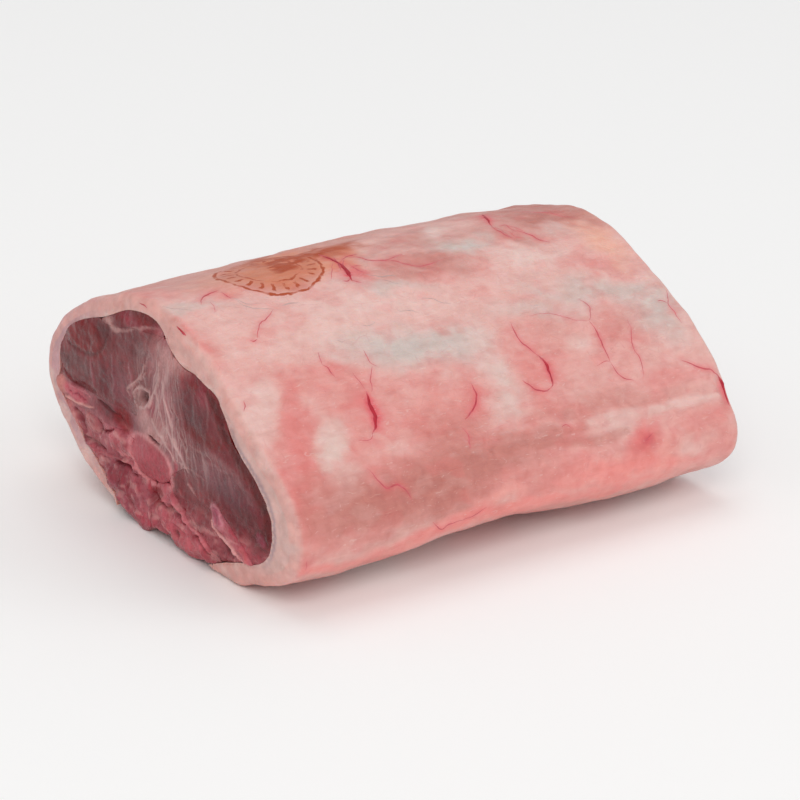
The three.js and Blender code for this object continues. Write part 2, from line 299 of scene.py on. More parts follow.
FACE_MARKS = [
    # left loin
    spot((49, 58), (12.5, 5.8), 8, "#6E262C", 0.9, 0.35, soft=0.2),
    spot((52, 57.4), (8, 4.4), 8, "#72242C", 0.8, soft=0.5),
    strand(
        [(59, 51.8), (53, 51.6), (47, 52.2), (41, 54.2), (37, 57.5), (34, 61.8)],
        1.1, "#4C2C30", 0.5, -0.3),
    spot((35, 61), (6, 4), 20, "#604040", 0.6, soft=0.8),
    spot((19, 63), (12, 6), 8, "#6E4648", 0.7, soft=0.7),
    spot((57, 45), (5.5, 4), 0, "#604545", 0.8, soft=0.7),
    spot((49, 46), (2.6, 3), 0, "#725C5C", 0.7, soft=0.8),
    strand([(44, 51), (43.5, 46), (43, 42)], 1.7, "#8E575D", 0.7, 0.1),
    spot((36, 46), (4, 5.5), 0, "#643A3F", 0.7, soft=0.8),
    spot((27, 46), (5, 6), 0, "#89585E", 0.8, soft=0.8),
    strand([(22, 56), (21, 50), (22, 44)], 1.2, "#966469", 0.6, 0.2),
    strand([(32, 56), (31, 49), (30.5, 43)], 1.2, "#916066", 0.6, 0.2),
    strand([(63, 41), (57, 39.6), (51, 38.6), (42, 39.5)], 1.5, "#6E2430", 0.85, -0.5),
    # strap muscle and the fat line under it
    spot((22, 71.5), (8, 2.2), 8, "#8A4249", 0.7),
    spot((35.4, 67.4), (3.0, 1.5), -10, "#C09590", 0.8, soft=0.8),
    strand([(36, 67.2), (33, 65.8), (30, 65.2), (26.5, 65.9)], 1.5, "#B48C88", 0.8),
    strand([(30, 65.2), (26.5, 66), (21.7, 68), (16.8, 70), (11.5, 71.6), (7, 72.4)], 0.9, "#A37A78", 0.75),
    # left cross process
    spot((64.5, 35), (4, 3), 0, "#D98F88", 0.9, 0.2),
    spot((55, 34.8), (7.5, 2.8), 4, "#C8646F", 0.9, 0.5, soft=0.35),
    strand([(62, 31.6), (56, 31.8), (50, 32.6), (44, 33.2)], 1.1, "#E0A6A0", 0.9, 0.5),
    strand([(60, 37), (53, 37.4), (46, 36.5)], 0.7, "#CE8088", 0.8, 0.3),
    strand([(58, 34.5), (52, 35.2), (47, 34.6)], 0.6, "#8E3446", 0.7, -0.4),
    spot((36, 35), (7, 3.4), 0, "#7A4549", 0.9, -0.3, soft=0.5),
    strand([(41, 37), (35, 36), (30, 34.5)], 1.0, "#5E2F35", 0.8, -0.6),
    spot((60, 29.4), (3, 1.8), -20, "#C4706A", 0.6),
    # beside the deep red pocket
    spot((29, 32.5), (4, 2), 25, "#83202C", 0.8, -0.5),
    # lumps under the pocket; the dark strands in the gaps between them are painted shade
    spot((57, 25), (5, 3), 38, "#D58C85", 0.9, 0.2),
    strand([(55, 29.5), (52.4, 27), (50, 24)], 1.3, "#652530", 0.9, -1.2),
    spot((45, 27.6), (4.5, 2.8), 10, "#9F6865", 0.9, 0.7, soft=0.3),
    strand([(41, 30), (39, 27.5), (40.5, 25)], 0.8, "#6A2A32", 0.85, -0.7),
    strand([(38, 26.6), (35, 27.4), (32, 29)], 1.0, "#5C1F2A", 0.9, -1.2),
    spot((28, 25), (6, 3.4), 12, "#AA6065", 0.85, 0.6),
    strand([(34, 22.6), (28, 22.2), (22, 23.4)], 1.0, "#C07A7C", 0.7, 0.5),
    spot((22.5, 30), (2.2, 2.4), 0, "#B8626A", 0.8, 0.5),
    spot((45, 23), (6, 1.8), 25, "#945A5C", 0.8, 0.5),
    # the torn edge, and painted shade in the hollows under it
    strand([(50, 20.6), (45, 20.4), (41, 20.6), (37, 19.6)], 1.2, HOLLOW_SHADE, 0.9, -1.4),
    strand([(47, 18.6), (40, 17.6), (34, 18.6), (27, 20.2), (20, 20), (14, 18.6)], 0.9, "#A66368", 0.8, 0.8),
    strand([(33, 17.2), (26, 18.4), (19, 17.6)], 1.1, HOLLOW_SHADE, 0.85, -1.3),
    # left tenderloin
    spot((41, 15), (5, 2.6), 30, "#7F474B", 0.8, 0.5),
    spot((30, 13.5), (6, 4.5), 10, "#67303D", 0.85, 0.4),
    strand([(36, 14.4), (31, 11), (26, 10.4)], 0.9, "#9A5A66", 0.7, 0.5),
    spot((25, 7), (4, 2.2), 20, "#8C4252", 0.8, 0.4),
    spot((17, 11), (4, 5), 10, "#7B3E47", 0.8, 0.4),
    strand([(18.4, 15), (16, 11.5), (13.6, 7.6)], 0.9, "#A87077", 0.8, 0.5),
    # painted shade in a groove
    strand([(22, 15), (21, 10), (18, 5.5)], 0.8, "#52202C", 0.8, -0.7),
    spot((12, 4.6), (4.5, 1.8), 0, "#9E3848", 0.8),
    strand([(33, 9), (27, 6), (21, 4)], 1.0, "#A04C5A", 0.6, 0.3),
    # vertebra, with a paler rim
    spot((9.2, 25.9), (13.9, 8.9), 8, "#D08C8F", 0.95, 0.2, soft=0.1),
    VERTEBRA,
    spot((14, 29), (5, 3), 0, "#B2626B", 0.5, soft=0.9),
    strand([(-4.4, 33), (-5.8, 30), (-5.2, 26.5)], 1.2, "#A32C46", 0.85, -0.4),
    # over the vertebra
    spot((10, 38.4), (8, 4.4), 16, "#C09290", 0.85, 0.3, soft=0.7),
    # painted shade in the gap over the vertebra
    strand([(9.6, 35.2), (6.5, 34.2), (3.6, 34)], 0.9, "#4F262C", 0.95, -1.3),
    spot((9, 44), (3, 2.6), 20, "#9C4856", 0.75, soft=0.7),
    spot((2, 40), (6, 5), 30, "#B48482", 0.6, soft=0.8),
    spot((1, 51), (7, 9), 0, "#9C6C6E", 0.75, soft=0.8),
    spot((3.5, 64), (6, 6.5), 0, "#BC8D8B", 0.85, soft=0.8),
    spot((-6, 64.5), (6, 5), -20, "#C48F8C", 0.8, soft=0.8),
    spot((4, 71.5), (4.5, 2.4), 0, "#A86267", 0.7, soft=0.7),
    spot((8.5, 62), (3, 5), 0, "#986467", 0.6, soft=0.8),
    strand([(-4.3, 49.7), (-4.6, 47.1), (-4.9, 44.5)], 0.9, "#6C3C41", 0.85, -0.4),
    strand([(-8.3, 53.7), (-10.1, 50.4), (-12.4, 46.5)], 1.1, "#5E3236", 0.75, -0.3),
    strand([(-1.5, 62), (-2.4, 56), (-5, 49), (-8, 43)], 0.8, "#80494F", 0.5, -0.2),
    # pocket under the vertebra
    spot((7, 14), (2.8, 3.6), 15, "#75101F", 0.95, -0.8, soft=0.4),
    strand([(11.5, 18), (9, 14), (6, 11)], 1.4, "#8C2030", 0.8, -0.6),
    spot((-1, 17.4), (6, 2.2), 14, "#AF5E67", 0.85, 0.4),
    # right tenderloin
    spot((-5, 8.6), (7, 2.6), 0, "#9C434D", 0.8, 0.4),
    spot((-19, 6.6), (9, 2.6), -6, "#A8565D", 0.8, 0.5),
    # the dark strands and the dark spot here lie in its grooves: painted shade
    strand([(5, 13), (-2, 13.2), (-8, 13), (-13, 11.6)], 1.0, "#54202A", 0.85, -1.1),
    strand([(3, 15.2), (-6, 15.6), (-13, 13.4), (-20, 10.6), (-28, 7.4)], 1.1, "#C0767C", 0.8, 0.7),
    strand([(1, 10), (-7, 10.4), (-15, 9)], 0.8, "#B0656C", 0.6, 0.4),
    strand([(-18, 10), (-22, 8.6), (-27, 6.2)], 0.8, HOLLOW_SHADE, 0.8, -0.9),
    spot((-8.5, 7), (1.6, 1.2), 0, "#4E1A26", 0.9, -0.9),
    spot((-2, 4), (4, 1.4), 0, "#96404C", 0.7),
    # right loin, low
    spot((-19, 21), (9, 5), 10, "#7C4A4C", 0.8, 0.2, soft=0.8),
    strand([(-8, 22), (-12, 18.4), (-18, 14.6), (-24, 12)], 0.9, "#A56D6D", 0.6, 0.4),
    strand([(-12, 26), (-16, 25.4), (-19, 24)], 0.7, "#B98A88", 0.75, 0.3),
    strand([(-14, 31.6), (-18, 31.4), (-23, 31)], 0.6, "#B08482", 0.75, 0.3),
    # right cross process
    spot((-31, 21.3), (4.6, 3.2), 40, "#C88A93", 0.9, 0.5, soft=0.2),
    spot((-31.1, 21.4), (3.6, 2.3), 40, "#9E5263", 0.95, soft=0.3),
    spot((-43, 16.2), (7.5, 2.4), 32, "#94414A", 0.85, 0.3),
    strand([(-27.4, 19), (-31, 16.8), (-36, 14), (-41, 11.8), (-46, 10.6)], 1.1, "#DAA8A4", 0.95, 0.6),
    # painted shade in the groove under the white line
    strand([(-29.5, 15.6), (-34, 12.8), (-40, 9.8)], 1.5, HOLLOW_SHADE, 0.9, -1.0),
    spot((-46.5, 13), (3.4, 1.2), 30, "#B8605C", 0.55),
    # right loin
    spot((-14, 60), (10, 4), 0, "#78383D", 0.8, soft=0.7),
    spot((-21, 59), (2.5, 3), 0, "#94525A", 0.6, soft=0.8),
    spot((-15, 52), (9, 5), 0, "#5E4244", 0.8, soft=0.8),
    strand([(-8, 56), (-9, 50), (-11, 45)], 1.0, "#7E5A5B", 0.6, 0.1),
    strand([(-16, 56), (-16.5, 50), (-19, 45)], 1.0, "#7A5556", 0.6, 0.1),
    strand(
        [(-23, 61), (-29, 56), (-33, 50), (-41, 45), (-50, 39), (-56, 32), (-58, 24)],
        3.2, "#5A1C22", 0.88),
    strand([(-13, 45.5), (-22, 45.4), (-32, 45.6)], 2.8, "#6B252C", 0.85),
    strand([(-22, 40.5), (-32, 41), (-42, 38), (-50, 33)], 2.2, "#835C5E", 0.65, 0.1),
    spot((-32, 33.5), (14, 4.5), 4, "#725055", 0.85, soft=0.7),
    spot((-46, 28), (7, 3.4), 0, "#5E343C", 0.8, soft=0.8),
    spot((-54, 21.5), (4, 4), 0, "#50242E", 0.8, -0.2, soft=0.2),
    spot((-54, 21.5), (2.9, 2.8), 0, "#854450", 0.85, 0.4, soft=0.3),
    # the deep red pocket at the left of the spine
    spot((27.2, 34.4), (4.6, 4.2), 10, "#7A0C20", 0.95, -0.9, soft=0.6),
    # a curl of sinew round a small hollow beside the spine, with painted shade in the hollow
    spot((15.4, 46.2), (4.8, 3.6), -20, "#937270", 0.85, soft=0.6),
    spot((14.2, 47.2), (2.0, 1.5), -12, "#4E3132", 0.9, -1.2, soft=0.7),
    strand(
        [(19.6, 45), (19.4, 47.4), (17.6, 49.2), (15.3, 49.9), (13.1, 49.3), (11.3, 46.9), (12.6, 43.8),
         (15, 42.4), (17.3, 42.6), (19.4, 44)],
        0.85, "#B99896", 0.85, 0.5),
    strand([(22.1, 44.6), (23.1, 47), (20.6, 49.1), (16.6, 53), (13.4, 58.3)], 0.85, "#B4928F", 0.8, 0.5),
    strand([(19.2, 44.2), (20.4, 47.2), (18.9, 50.2), (15.3, 53.5), (12.5, 56)], 0.7, "#AD8A88", 0.75, 0.4),
    strand([(5.3, 61.6), (5.7, 55.5), (9.4, 48.8), (11.3, 44.1)], 1.1, "#C29D9A", 0.8, 0.4),
    # white strands that fan out down from the spine
    strand([(3.9, 56.1), (1.3, 50.4), (-2.3, 43.6), (-6.8, 35.8)], 1.0, "#CBA8A5", 0.8, 0.3),
    strand([(-0.9, 57.8), (-3.6, 52.1), (-7.2, 46.7), (-12.7, 39.3)], 0.7, "#A98482", 0.6, 0.3),
    strand([(7.6, 52), (5.6, 47), (2.6, 42.4), (-1, 38.4)], 0.9, "#C4A09E", 0.7, 0.3),
    strand([(8.8, 41), (4.7, 38.4), (-1.2, 35.1), (-5.4, 31)], 1.1, "#C8A5A2", 0.8, 0.3),
    strand([(1.8, 41.7), (-4.8, 38), (-10, 33), (-13.3, 30.4)], 1.1, "#C4A09E", 0.8, 0.3),
    strand([(-5, 43.4), (-10.1, 39.1), (-14, 33.7)], 0.7, "#A98482", 0.7, 0.3),
    strand([(-5, 33), (-10, 31.4), (-15.3, 32.2)], 0.7, "#B9908D", 0.7, 0.3),
    strand([(-14.1, 40.6), (-19.2, 40.1), (-24.2, 39.7)], 0.8, "#96706F", 0.6, 0.2),
    strand([(-21.7, 37.3), (-29.2, 38.1), (-36.5, 38.5)], 0.9, "#8A6466", 0.6, 0.1),
    strand([(-22, 61), (-24, 55), (-24.6, 49)], 1.0, "#865E5F", 0.5, 0.1),
    strand([(-9, 41), (-11.4, 37), (-14, 35)], 0.6, "#A98482", 0.6, 0.2),
]

# painted highlights: pale specks, each raised a little, that stand for wet glints on the ragged lower edge,
# clear of the vertebra and of the right loin
GLINTS_TRIED = 60
for y, z in np.random.default_rng(5).uniform((-40, 5), (50, 27), (GLINTS_TRIED, 2)):
    if z < 13 or y > 0 and math.hypot((y - 9) / 17, (z - 26) / 11) > 1:
        FACE_MARKS.append(spot((y, z), (0.9, 0.5), 40, "#CE9A97", 0.6, 0.25, soft=0.6))

# Where white fibres lie over the meat, and how thickly.
HAZE = [
    spot((1, 62), (9, 7), 0, strength=0.35, soft=0.9),
    spot((1, 50), (8, 10), 0, strength=0.5, soft=0.9),
    spot((-5, 38), (9, 8), 20, strength=0.55, soft=0.9),
    spot((15, 47), (8, 6), 20, strength=0.45, soft=0.9),
    spot((14, 57), (9, 7), 0, strength=0.3, soft=0.9),
    spot((-16, 34), (10, 6), 0, strength=0.35, soft=0.9),
    spot((-28, 38), (12, 4), 0, strength=0.25, soft=0.9),
]

STRAND_STEP = 0.6


def cover(mark, across, up):
    """How much of a mark lies on each place, from 0 to 1."""
    if "points" in mark:
        line = curve_through(mark["points"], STRAND_STEP)
        taper = np.sin(np.pi * np.linspace(0.08, 0.92, len(line))) ** 0.5
        covered = np.zeros(len(across))
        near = np.hypot(across - line[:, 0].mean(), up - line[:, 1].mean()) < np.ptp(line, axis=0).max() + 4
        y, z = across[near, None] - line[:, 0], up[near, None] - line[:, 1]
        away = np.hypot(y, z) / (mark["width"] * taper)
        covered[near] = ease(1, 0.25, away.min(1)) if near.any() else 0
        return covered
    turn = math.radians(mark["turn"])
    y, z = across - mark["middle"][0], up - mark["middle"][1]
    along_it = (y * math.cos(turn) + z * math.sin(turn)) / mark["reach"][0]
    over_it = (z * math.cos(turn) - y * math.sin(turn)) / mark["reach"][1]
    return ease(1 + mark["soft"], 1 - mark["soft"], np.hypot(along_it, over_it))


# ---- the faces of the solids ------------------------------------------------------------------------

ENDS = (-1, 1)  # the near one and the far one
FACE_REACH = 8  # mm from each end within which the solids' faces lie
RELIEF_REACH = 10  # mm from each end, past which the solids have no relief of a face
MAP_STEP = 2.0
MAP_REACH = 90.0
MAP_BLUR = 1.2  # steps
map_across = np.arange(-MAP_REACH, MAP_REACH + 1, MAP_STEP)
map_up = np.arange(-3 * MAP_STEP, MAP_REACH + 1, MAP_STEP)


def face_map(end):
    """How far the solids' face at this end stands out past the fullest point, on a grid.

    It is never positive."""
    places, triangles = [], []
    for solid_places, solid_triangles in SOLIDS.values():
        triangles.append(solid_triangles + sum(map(len, places)))
        places.append(solid_places)
    tree = BVHTree.FromPolygons(np.vstack(places).tolist(), np.vstack(triangles).tolist())
    depth = np.zeros((len(map_across), len(map_up)))
    found = np.zeros_like(depth)
    for i, y in enumerate(map_across):
        for j, z in enumerate(map_up):
            hit = tree.ray_cast(Vector((end * (HALF + 20), y, z)), Vector((-end, 0, 0)))[0]
            if hit and abs(hit.x) > HALF - FACE_REACH:
                depth[i, j] = abs(hit.x) - HALF
                found[i, j] = 1
    for _ in range(2):
        depth, found = blurred(depth, MAP_BLUR).T, blurred(found, MAP_BLUR).T
    return np.where(found > 0.01, depth / np.maximum(found, 0.01), 0)


FACE_MAPS = {end: face_map(end) for end in ENDS}


def read_map(values, across, up):
    """The values of a grid at these places, blended between its points."""
    i = np.clip((across - map_across[0]) / MAP_STEP, 0, len(map_across) - 1.001)
    j = np.clip((up - map_up[0]) / MAP_STEP, 0, len(map_up) - 1.001)
    low_i, low_j = i.astype(int), j.astype(int)
    i, j = i - low_i, j - low_j
    near = values[low_i, low_j] * (1 - j) + values[low_i, low_j + 1] * j
    far = values[low_i + 1, low_j] * (1 - j) + values[low_i + 1, low_j + 1] * j
    return near * (1 - i) + far * i


END_OUTLINES = [section("fat_cover", end * (HALF - RELIEF_REACH)) for end in ENDS]


def on_near_face(places, end):
    """Across and up of places on a cut face, from the foot of the spine, at the size of the near face."""
    across, up = places[:, 1], places[:, 2]
    if end > 0:
        near, far = END_OUTLINES
        size = np.ptp(near, axis=0) / np.ptp(far, axis=0)
        across, up = ((places[:, 1:] - far.min(0)) * size + near.min(0)).T
    return across - SPINE_Y, up


FACES_APART = 50.0  # half the distance between the two faces' noise


def on_own_face(y, z, end):
    """Places for the noise of a cut face, so that the two faces differ."""
    return np.column_stack([y, z, np.full(len(y), FACES_APART * end)])


# ---- bars -------------------------------------------------------------------------------------------

INSIDE_ONLY = 1  # the triangulation keeps what lies within the outline


def solid_mesh(name, points, polygons):
    """A smooth mesh from points in mm, with its faces pointing out."""
    mesh = bpy.data.meshes.new(name)
    mesh.from_pydata((points * MM).tolist(), [], polygons)
    shape = bmesh.new()
    shape.from_mesh(mesh)
    bmesh.ops.recalc_face_normals(shape, faces=shape.faces)
    shape.to_mesh(mesh)
    shape.free()
    mesh.shade_smooth()
    return mesh


def quads(rings, count):
    """The polygons between neighbouring rings of count points each."""
    base = np.arange((rings - 1) * count).reshape(rings - 1, count)
    after = np.roll(base, -1, 1)
    return np.stack([base, base + count, after + count, after], -1).reshape(-1, 4).tolist()


class Bar:
    """A bar over one solid: rings of points from the near face to the far one, and the points on its faces.

    Its rings start at the point nearest start. They have a point each fine mm where the bar is open to the
    air and each coarse mm where it meets its neighbours, and there is a ring each step mm. Open edges are
    rounded by rim, and sides that meet a neighbour grow a little, to close the gap between them."""

    SLICE = 3.0
    OPEN_TO_AIR = (0.9, 2.6)  # mm to the nearest neighbour, from shut in to open
    GROW = 0.12
    END_REACH = 8  # mm from each end with rings closer together, at these distances
    END_RINGS = np.concatenate([[0, 0.25, 0.6, 1.1, 1.7, 2.4, 3.2], np.arange(4.2, END_REACH, 1.2)])
    FACE_STEP = 0.55
    FACE_FADE = 3  # mm over which the relief of a face dies out along the sides
    SHARP = math.radians(55)

    def __init__(self, node, start, fine, coarse, rim, step, soft=0.9, softest=0.9):
        reach = HALF - RELIEF_REACH
        self.cuts = np.arange(-reach, reach + 0.1, self.SLICE)
        loops = [outline(node, x, np.array(start), soft, softest) for x in self.cuts]
        middle = loops[len(loops) // 2]
        others = np.vstack([outline(other, 0, (0, 0), 0.3, 0.3) for other in SOLIDS if other != node])
        open_there = ease(*self.OPEN_TO_AIR, nearest(middle, others)[0])
        count = len(middle)
        points_passed = np.cumsum(1 / (coarse + (fine - coarse) * open_there)) * OUTLINE_STEP
        points_passed -= points_passed[0]
        shares = np.interp(np.arange(int(points_passed[-1])), points_passed, np.arange(count) / count)
        self.open = np.interp(shares, np.arange(count) / count, open_there)
        self.arc = shares * count * OUTLINE_STEP
        self.rings = blurred(np.array([along(loop, shares) for loop in loops]), 2)
        self.rim = rim
        inner = LENGTH - 2 * self.END_REACH
        between = np.linspace(self.END_REACH, LENGTH - self.END_REACH, int(inner / step) + 1)
        self.stations = np.concatenate([self.END_RINGS, between, LENGTH - self.END_RINGS[::-1]])
        self.from_end = np.minimum(self.stations, LENGTH - self.stations)

    def ring_at(self, x):
        """The outline at x, blended from the cuts on both sides of it."""
        x = np.clip(x, self.cuts[0], self.cuts[-1])
        place = (x - self.cuts[0]) / self.SLICE
        low = min(int(place), len(self.cuts) - 2)
        return self.rings[low] * (low + 1 - place) + self.rings[low + 1] * (place - low)

    def outward(self, ring):
        """The direction out of the bar at each point of a ring."""
        tangent = np.roll(ring, -1, 0) - np.roll(ring, 1, 0)
        normal = np.stack([tangent[:, 1], -tangent[:, 0]], 1)
        area = (ring[:, 0] * np.roll(ring[:, 1], -1) - ring[:, 1] * np.roll(ring[:, 0], -1)).sum()
        return normal / np.maximum(np.linalg.norm(normal, axis=1), 1e-9)[:, None] * np.sign(area)

    def build(self, rise, swell):
        """Makes the points, with a relief of the cut faces and a swell of the sides.

        rise(places, end, edge) gives the first, and swell(places, outward) the second."""
        sides = []
        for station, from_end in zip(self.stations, self.from_end):
            x = station - HALF
            ring = self.ring_at(x)
            outward = self.outward(ring)
            places = np.column_stack([np.full(len(ring), x), ring])
            inside = max(0, self.rim - from_end)
            roll = self.rim - math.sqrt(self.rim**2 - inside**2)
            out = self.GROW * (1 - self.open) + self.open * (swell(places, outward) - roll)
            places[:, 1:] += outward * out[:, None]
            sides.append(places)
        self.sides = np.array(sides)
        self.faces = {}
        for end, ring in ((-1, self.sides[0]), (1, self.sides[-1])):
            loop = ring[:, 1:]
            inner = self.inside(loop)
            places = np.column_stack([np.full(len(inner), end * HALF), inner])
            edge = nearest(inner, loop)[0]
            ring_out = rise(ring, end, np.zeros(len(ring)))
            places[:, 0] += end * rise(places, end, edge)
            fade = np.exp(-self.from_end / self.FACE_FADE)[:, None]
            half = (self.stations < HALF)[:, None] if end < 0 else (self.stations >= HALF)[:, None]
            self.sides[:, :, 0] += end * ring_out * fade * half
            self.faces[end] = places
        self.sides[:, :, 2] = np.maximum(self.sides[:, :, 2], 0)
        for places in self.faces.values():
            places[:, 2] = np.maximum(places[:, 2], 0)
        return self

    def inside(self, loop):
        """Points in a triangular pattern inside an outline, clear of its edge."""
        step, row = self.FACE_STEP, self.FACE_STEP * math.sqrt(3) / 2
        low, high = loop.min(0), loop.max(0)
        across, up = np.meshgrid(np.arange(low[0], high[0], step), np.arange(low[1], high[1], row))
        across[1::2] += step / 2
        grid = np.stack([across, up], -1).reshape(-1, 2)
        within = np.zeros(len(grid), bool)
        for (y0, z0), (y1, z1) in zip(loop, np.roll(loop, -1, 0)):
            spans = (z0 > grid[:, 1]) != (z1 > grid[:, 1])
            if z0 != z1:
                within ^= spans & (grid[:, 0] < y0 + (grid[:, 1] - z0) * (y1 - y0) / (z1 - z0))
        grid = grid[within]
        return grid[nearest(grid, loop)[0] > step * 0.6]

    def mesh(self, name):
        """One closed mesh: the sides, then the near face, then the far one."""
        stations, count = self.sides.shape[:2]
        polygons = quads(stations, count)
        total = stations * count
        rim_edges = [(i, (i + 1) % count) for i in range(count)]
        for end, first in ((-1, 0), (1, total - count)):
            ring = self.sides[0 if end < 0 else -1]
            inner = self.faces[end]
            flat = [Vector(place[1:]) for place in np.vstack([ring, inner])]
            _, _, triangles, origins, _, _ = delaunay_2d_cdt(flat, rim_edges, [], INSIDE_ONLY, 1e-6)
            index = np.concatenate([first + np.arange(count), total + np.arange(len(inner))])
            for triangle in triangles:
                if all(origins[corner] for corner in triangle):
                    polygons.append([int(index[origins[corner][0]]) for corner in triangle])
            total += len(inner)
        self.points = np.vstack([self.sides.reshape(-1, 3), self.faces[-1], self.faces[1]])
        mesh = solid_mesh(name, self.points, polygons)
        mesh.set_sharp_from_angle(angle=self.SHARP)
        return mesh


# ---- the relief of the cut faces ----------------------------------------------------------------------


def torn(y, z):
    """Places shifted a little here and there, so that marks get ragged edges, on meat more than on bone."""
    spots = np.column_stack([y, z, np.zeros(len(y))])
    loose = 1 - 0.85 * cover(ROUND_VERTEBRA, y, z)
    return (
        y + loose * (0.5 * lumps(spots, 5, 11) + 0.2 * lumps(spots, 1.8, 12)),
        z + loose * (0.5 * lumps(spots, 5, 13) + 0.2 * lumps(spots, 1.8, 14)),
    )


def meat_rise(places, end, edge):
    """How far a cut face of meat or bone stands out past the fullest point of the solids."""
    y, z = on_near_face(places, end)
    torn_y, torn_z = torn(y, z)
    rise = read_map(FACE_MAPS[end], places[:, 1], places[:, 2])
    for mark in FACE_MARKS:
        if mark["rise"]:
            rise += mark["rise"] * cover(mark, torn_y, torn_z)
    low = ease(30, 18, z)  # the tenderloins are the most ragged
    spots = on_own_face(y, z, end)
    rise += (0.25 + 0.55 * low) * lumps(spots, (7, 4, 5), 21)
    rise += (0.1 + 0.22 * low) * lumps(spots, (1.8, 2.6, 2), 22)
    return rise - 0.5 * low * np.exp(-edge / 0.55)


def fat_rise(places, end, edge):
    """How far a cut face of the fat stands out in the same way; it is smoother."""
    spots = on_own_face(places[:, 1], places[:, 2], end)
    rise = read_map(FACE_MAPS[end], places[:, 1], places[:, 2])
    return rise + 0.3 * lumps(spots, 8, 31) + 0.1 * lumps(spots, 2, 32)


def skin_swell(places, outward):
    """The soft lumps, hollows and folds of the skin."""
    swell = 0.5 * lumps(places, (30, 17, 17), 41) + 0.3 * lumps(places, (13, 9, 9), 42)
    swell += 0.1 * lumps(places, (5, 4, 4), 43)
    shown = ease(0, 0.15, outward @ BACK[1:])
    seen = shifted(pixels_of(places), places, 2.5, 8, 46)
    for points, width, rise in SKIN_FOLDS:
        swell += rise * shown * cover(strand(points, width), *seen.T)
    return swell


def meat_swell(places, outward):
    """The underside of the meat is ragged."""
    return 0.5 * lumps(places, (16, 4, 4), 44) + 0.25 * lumps(places, (5, 1.8, 1.8), 45)


# ---- colours of the meat ------------------------------------------------------------------------------

MEAT_COLOURS = {
    "loin_muscle_left": "#774648",
    "loin_muscle_right": "#734043",
    "strap_muscle": "#73363B",
    "tenderloin_left": "#90545B",
    "tenderloin_right": "#A65C62",
    "backbone": "#8E5F63",
    "cross_process_right": "#9C5C64",
}

SHEEN = np.array([0.003, 0.034, 0.033])  # what the wet surface adds to these and the marks, taken off again

# Mottles have a colour, a strength, the noise where they start and where they are full, a size and a seed.
TORN_MOTTLES = [  # wet crimson and pale shreds
    ("#8E1E30", 0.4, 0.1, 0.8, (6, 4, 4), 55),
    ("#CF9390", 0.4, 0.3, 0.9, (4.5, 2, 3), 56),
]
SIDE_MOTTLES = [  # dark lean, silverskin and fat
    ("#5C2630", 0.7, 0, 0.7, (22, 5, 5), 81),
    ("#A4606A", 0.6, 0.1, 0.7, (18, 3, 3), 82),
    ("#D9B3AC", 0.75, 0.25, 0.75, (26, 4, 4), 83),
]


def toward(colours, colour, share):
    """Colours moved toward one colour by a share at each place."""
    return colours + (linear(colour) - colours) * share[:, None]


def mottled(colours, places, mottles, share):
    """Colours with these mottles over them, by a share at each place."""
    for colour, strength, start, full, size, seed in mottles:
        colours = toward(colours, colour, share * strength * ease(start, full, lumps(places, size, seed)))
    return colours


def meat_colours(node, places, end):
    """Colour and haze on a cut face of meat or bone."""
    y, z = on_near_face(places, end)
    torn_y, torn_z = torn(y, z)
    spots = on_own_face(y, z, end)
    colours = np.tile(linear(MEAT_COLOURS[node]), (len(y), 1))
    lower = ease(24, 18, z + 0.12 * np.abs(y - 8)) if node != "cross_process_right" else np.zeros(len(y))
    colours = toward(colours, "#7C3C44", lower * 0.4)
    for mark in FACE_MARKS:
        colours = toward(colours, mark["colour"], mark["strength"] * cover(mark, torn_y, torn_z))
    colours = np.maximum(colours - SHEEN, 0.3 * colours)
    # Painted light: the low, ragged part of the face is made redder and lighter against the shade it lies in;
    # the torn mottles lie on the same part.
    low_painted_light = np.maximum(ease(22, 14, z), ease(34, 28, z) * ease(16, 22, y))
    colours = toward(colours, "#B0646B", 0.3 * low_painted_light) * (1 + 0.19 * low_painted_light[:, None])
    calm = 1 - 0.7 * cover(VERTEBRA, y, z)
    colours = mottled(colours, spots, TORN_MOTTLES, calm * low_painted_light)
    colours *= (1 + calm * (0.13 * lumps(spots, 7, 51) + 0.1 * lumps(spots, 2.5, 52)))[:, None]
    haze = sum(mark["strength"] * cover(mark, y, z) for mark in HAZE) * (1 - cover(VERTEBRA, y, z))
    return colours, np.clip(haze, 0, 1)


# The fibres of the left side run down toward a point under it, and the others down from one above the spine.
FIBRES_MEET = {True: (20, -10), False: (2, 88)}
FIBRES_TURN = 55  # mm from that point to where the bundles have their true thickness


def fibre_places(node, places):
    """Places across the fibres, along them and along the backbone, in mm."""
    y, z = on_near_face(places, -1)
    meet_y, meet_z = FIBRES_MEET["left" in node or "strap" in node]
    spots = np.column_stack([y, z, places[:, 0]])
    across = FIBRES_TURN * np.arctan2(y - meet_y, np.abs(z - meet_z))
    across += 1.3 * lumps(spots, (10, 10, 20), 53) + 0.4 * lumps(spots, (3, 4, 8), 54)
    return np.column_stack([across, np.hypot(y - meet_y, z - meet_z), places[:, 0]])


# ---- colours of the skin ------------------------------------------------------------------------------
# Patches and strands lie where the photograph shows them, in its pixels; a patch's turn is in degrees.

CREAM = "#E2B0A9"
MILK = "#E3C2BB"
COOL = "#C9BDB7"
SALMON = "#DD8A84"
ROSE_PINK = "#F0938C"
# a darker brownish pink: partly the skin's own browner tone, partly painted shade on the lower flank, under
# the ridge and where the skin turns away
SHADE_AND_DUSKY_PINK = "#BF766C"
BLUSH = "#DC6E6C"
STAIN = "#DC8660"


def patch(middle, reach, turn, colour=None, strength=1.0, soft=0.8):
    """A spot with edges as soft as the skin's patches have."""
    return spot(middle, reach, turn, colour, strength, soft=soft)


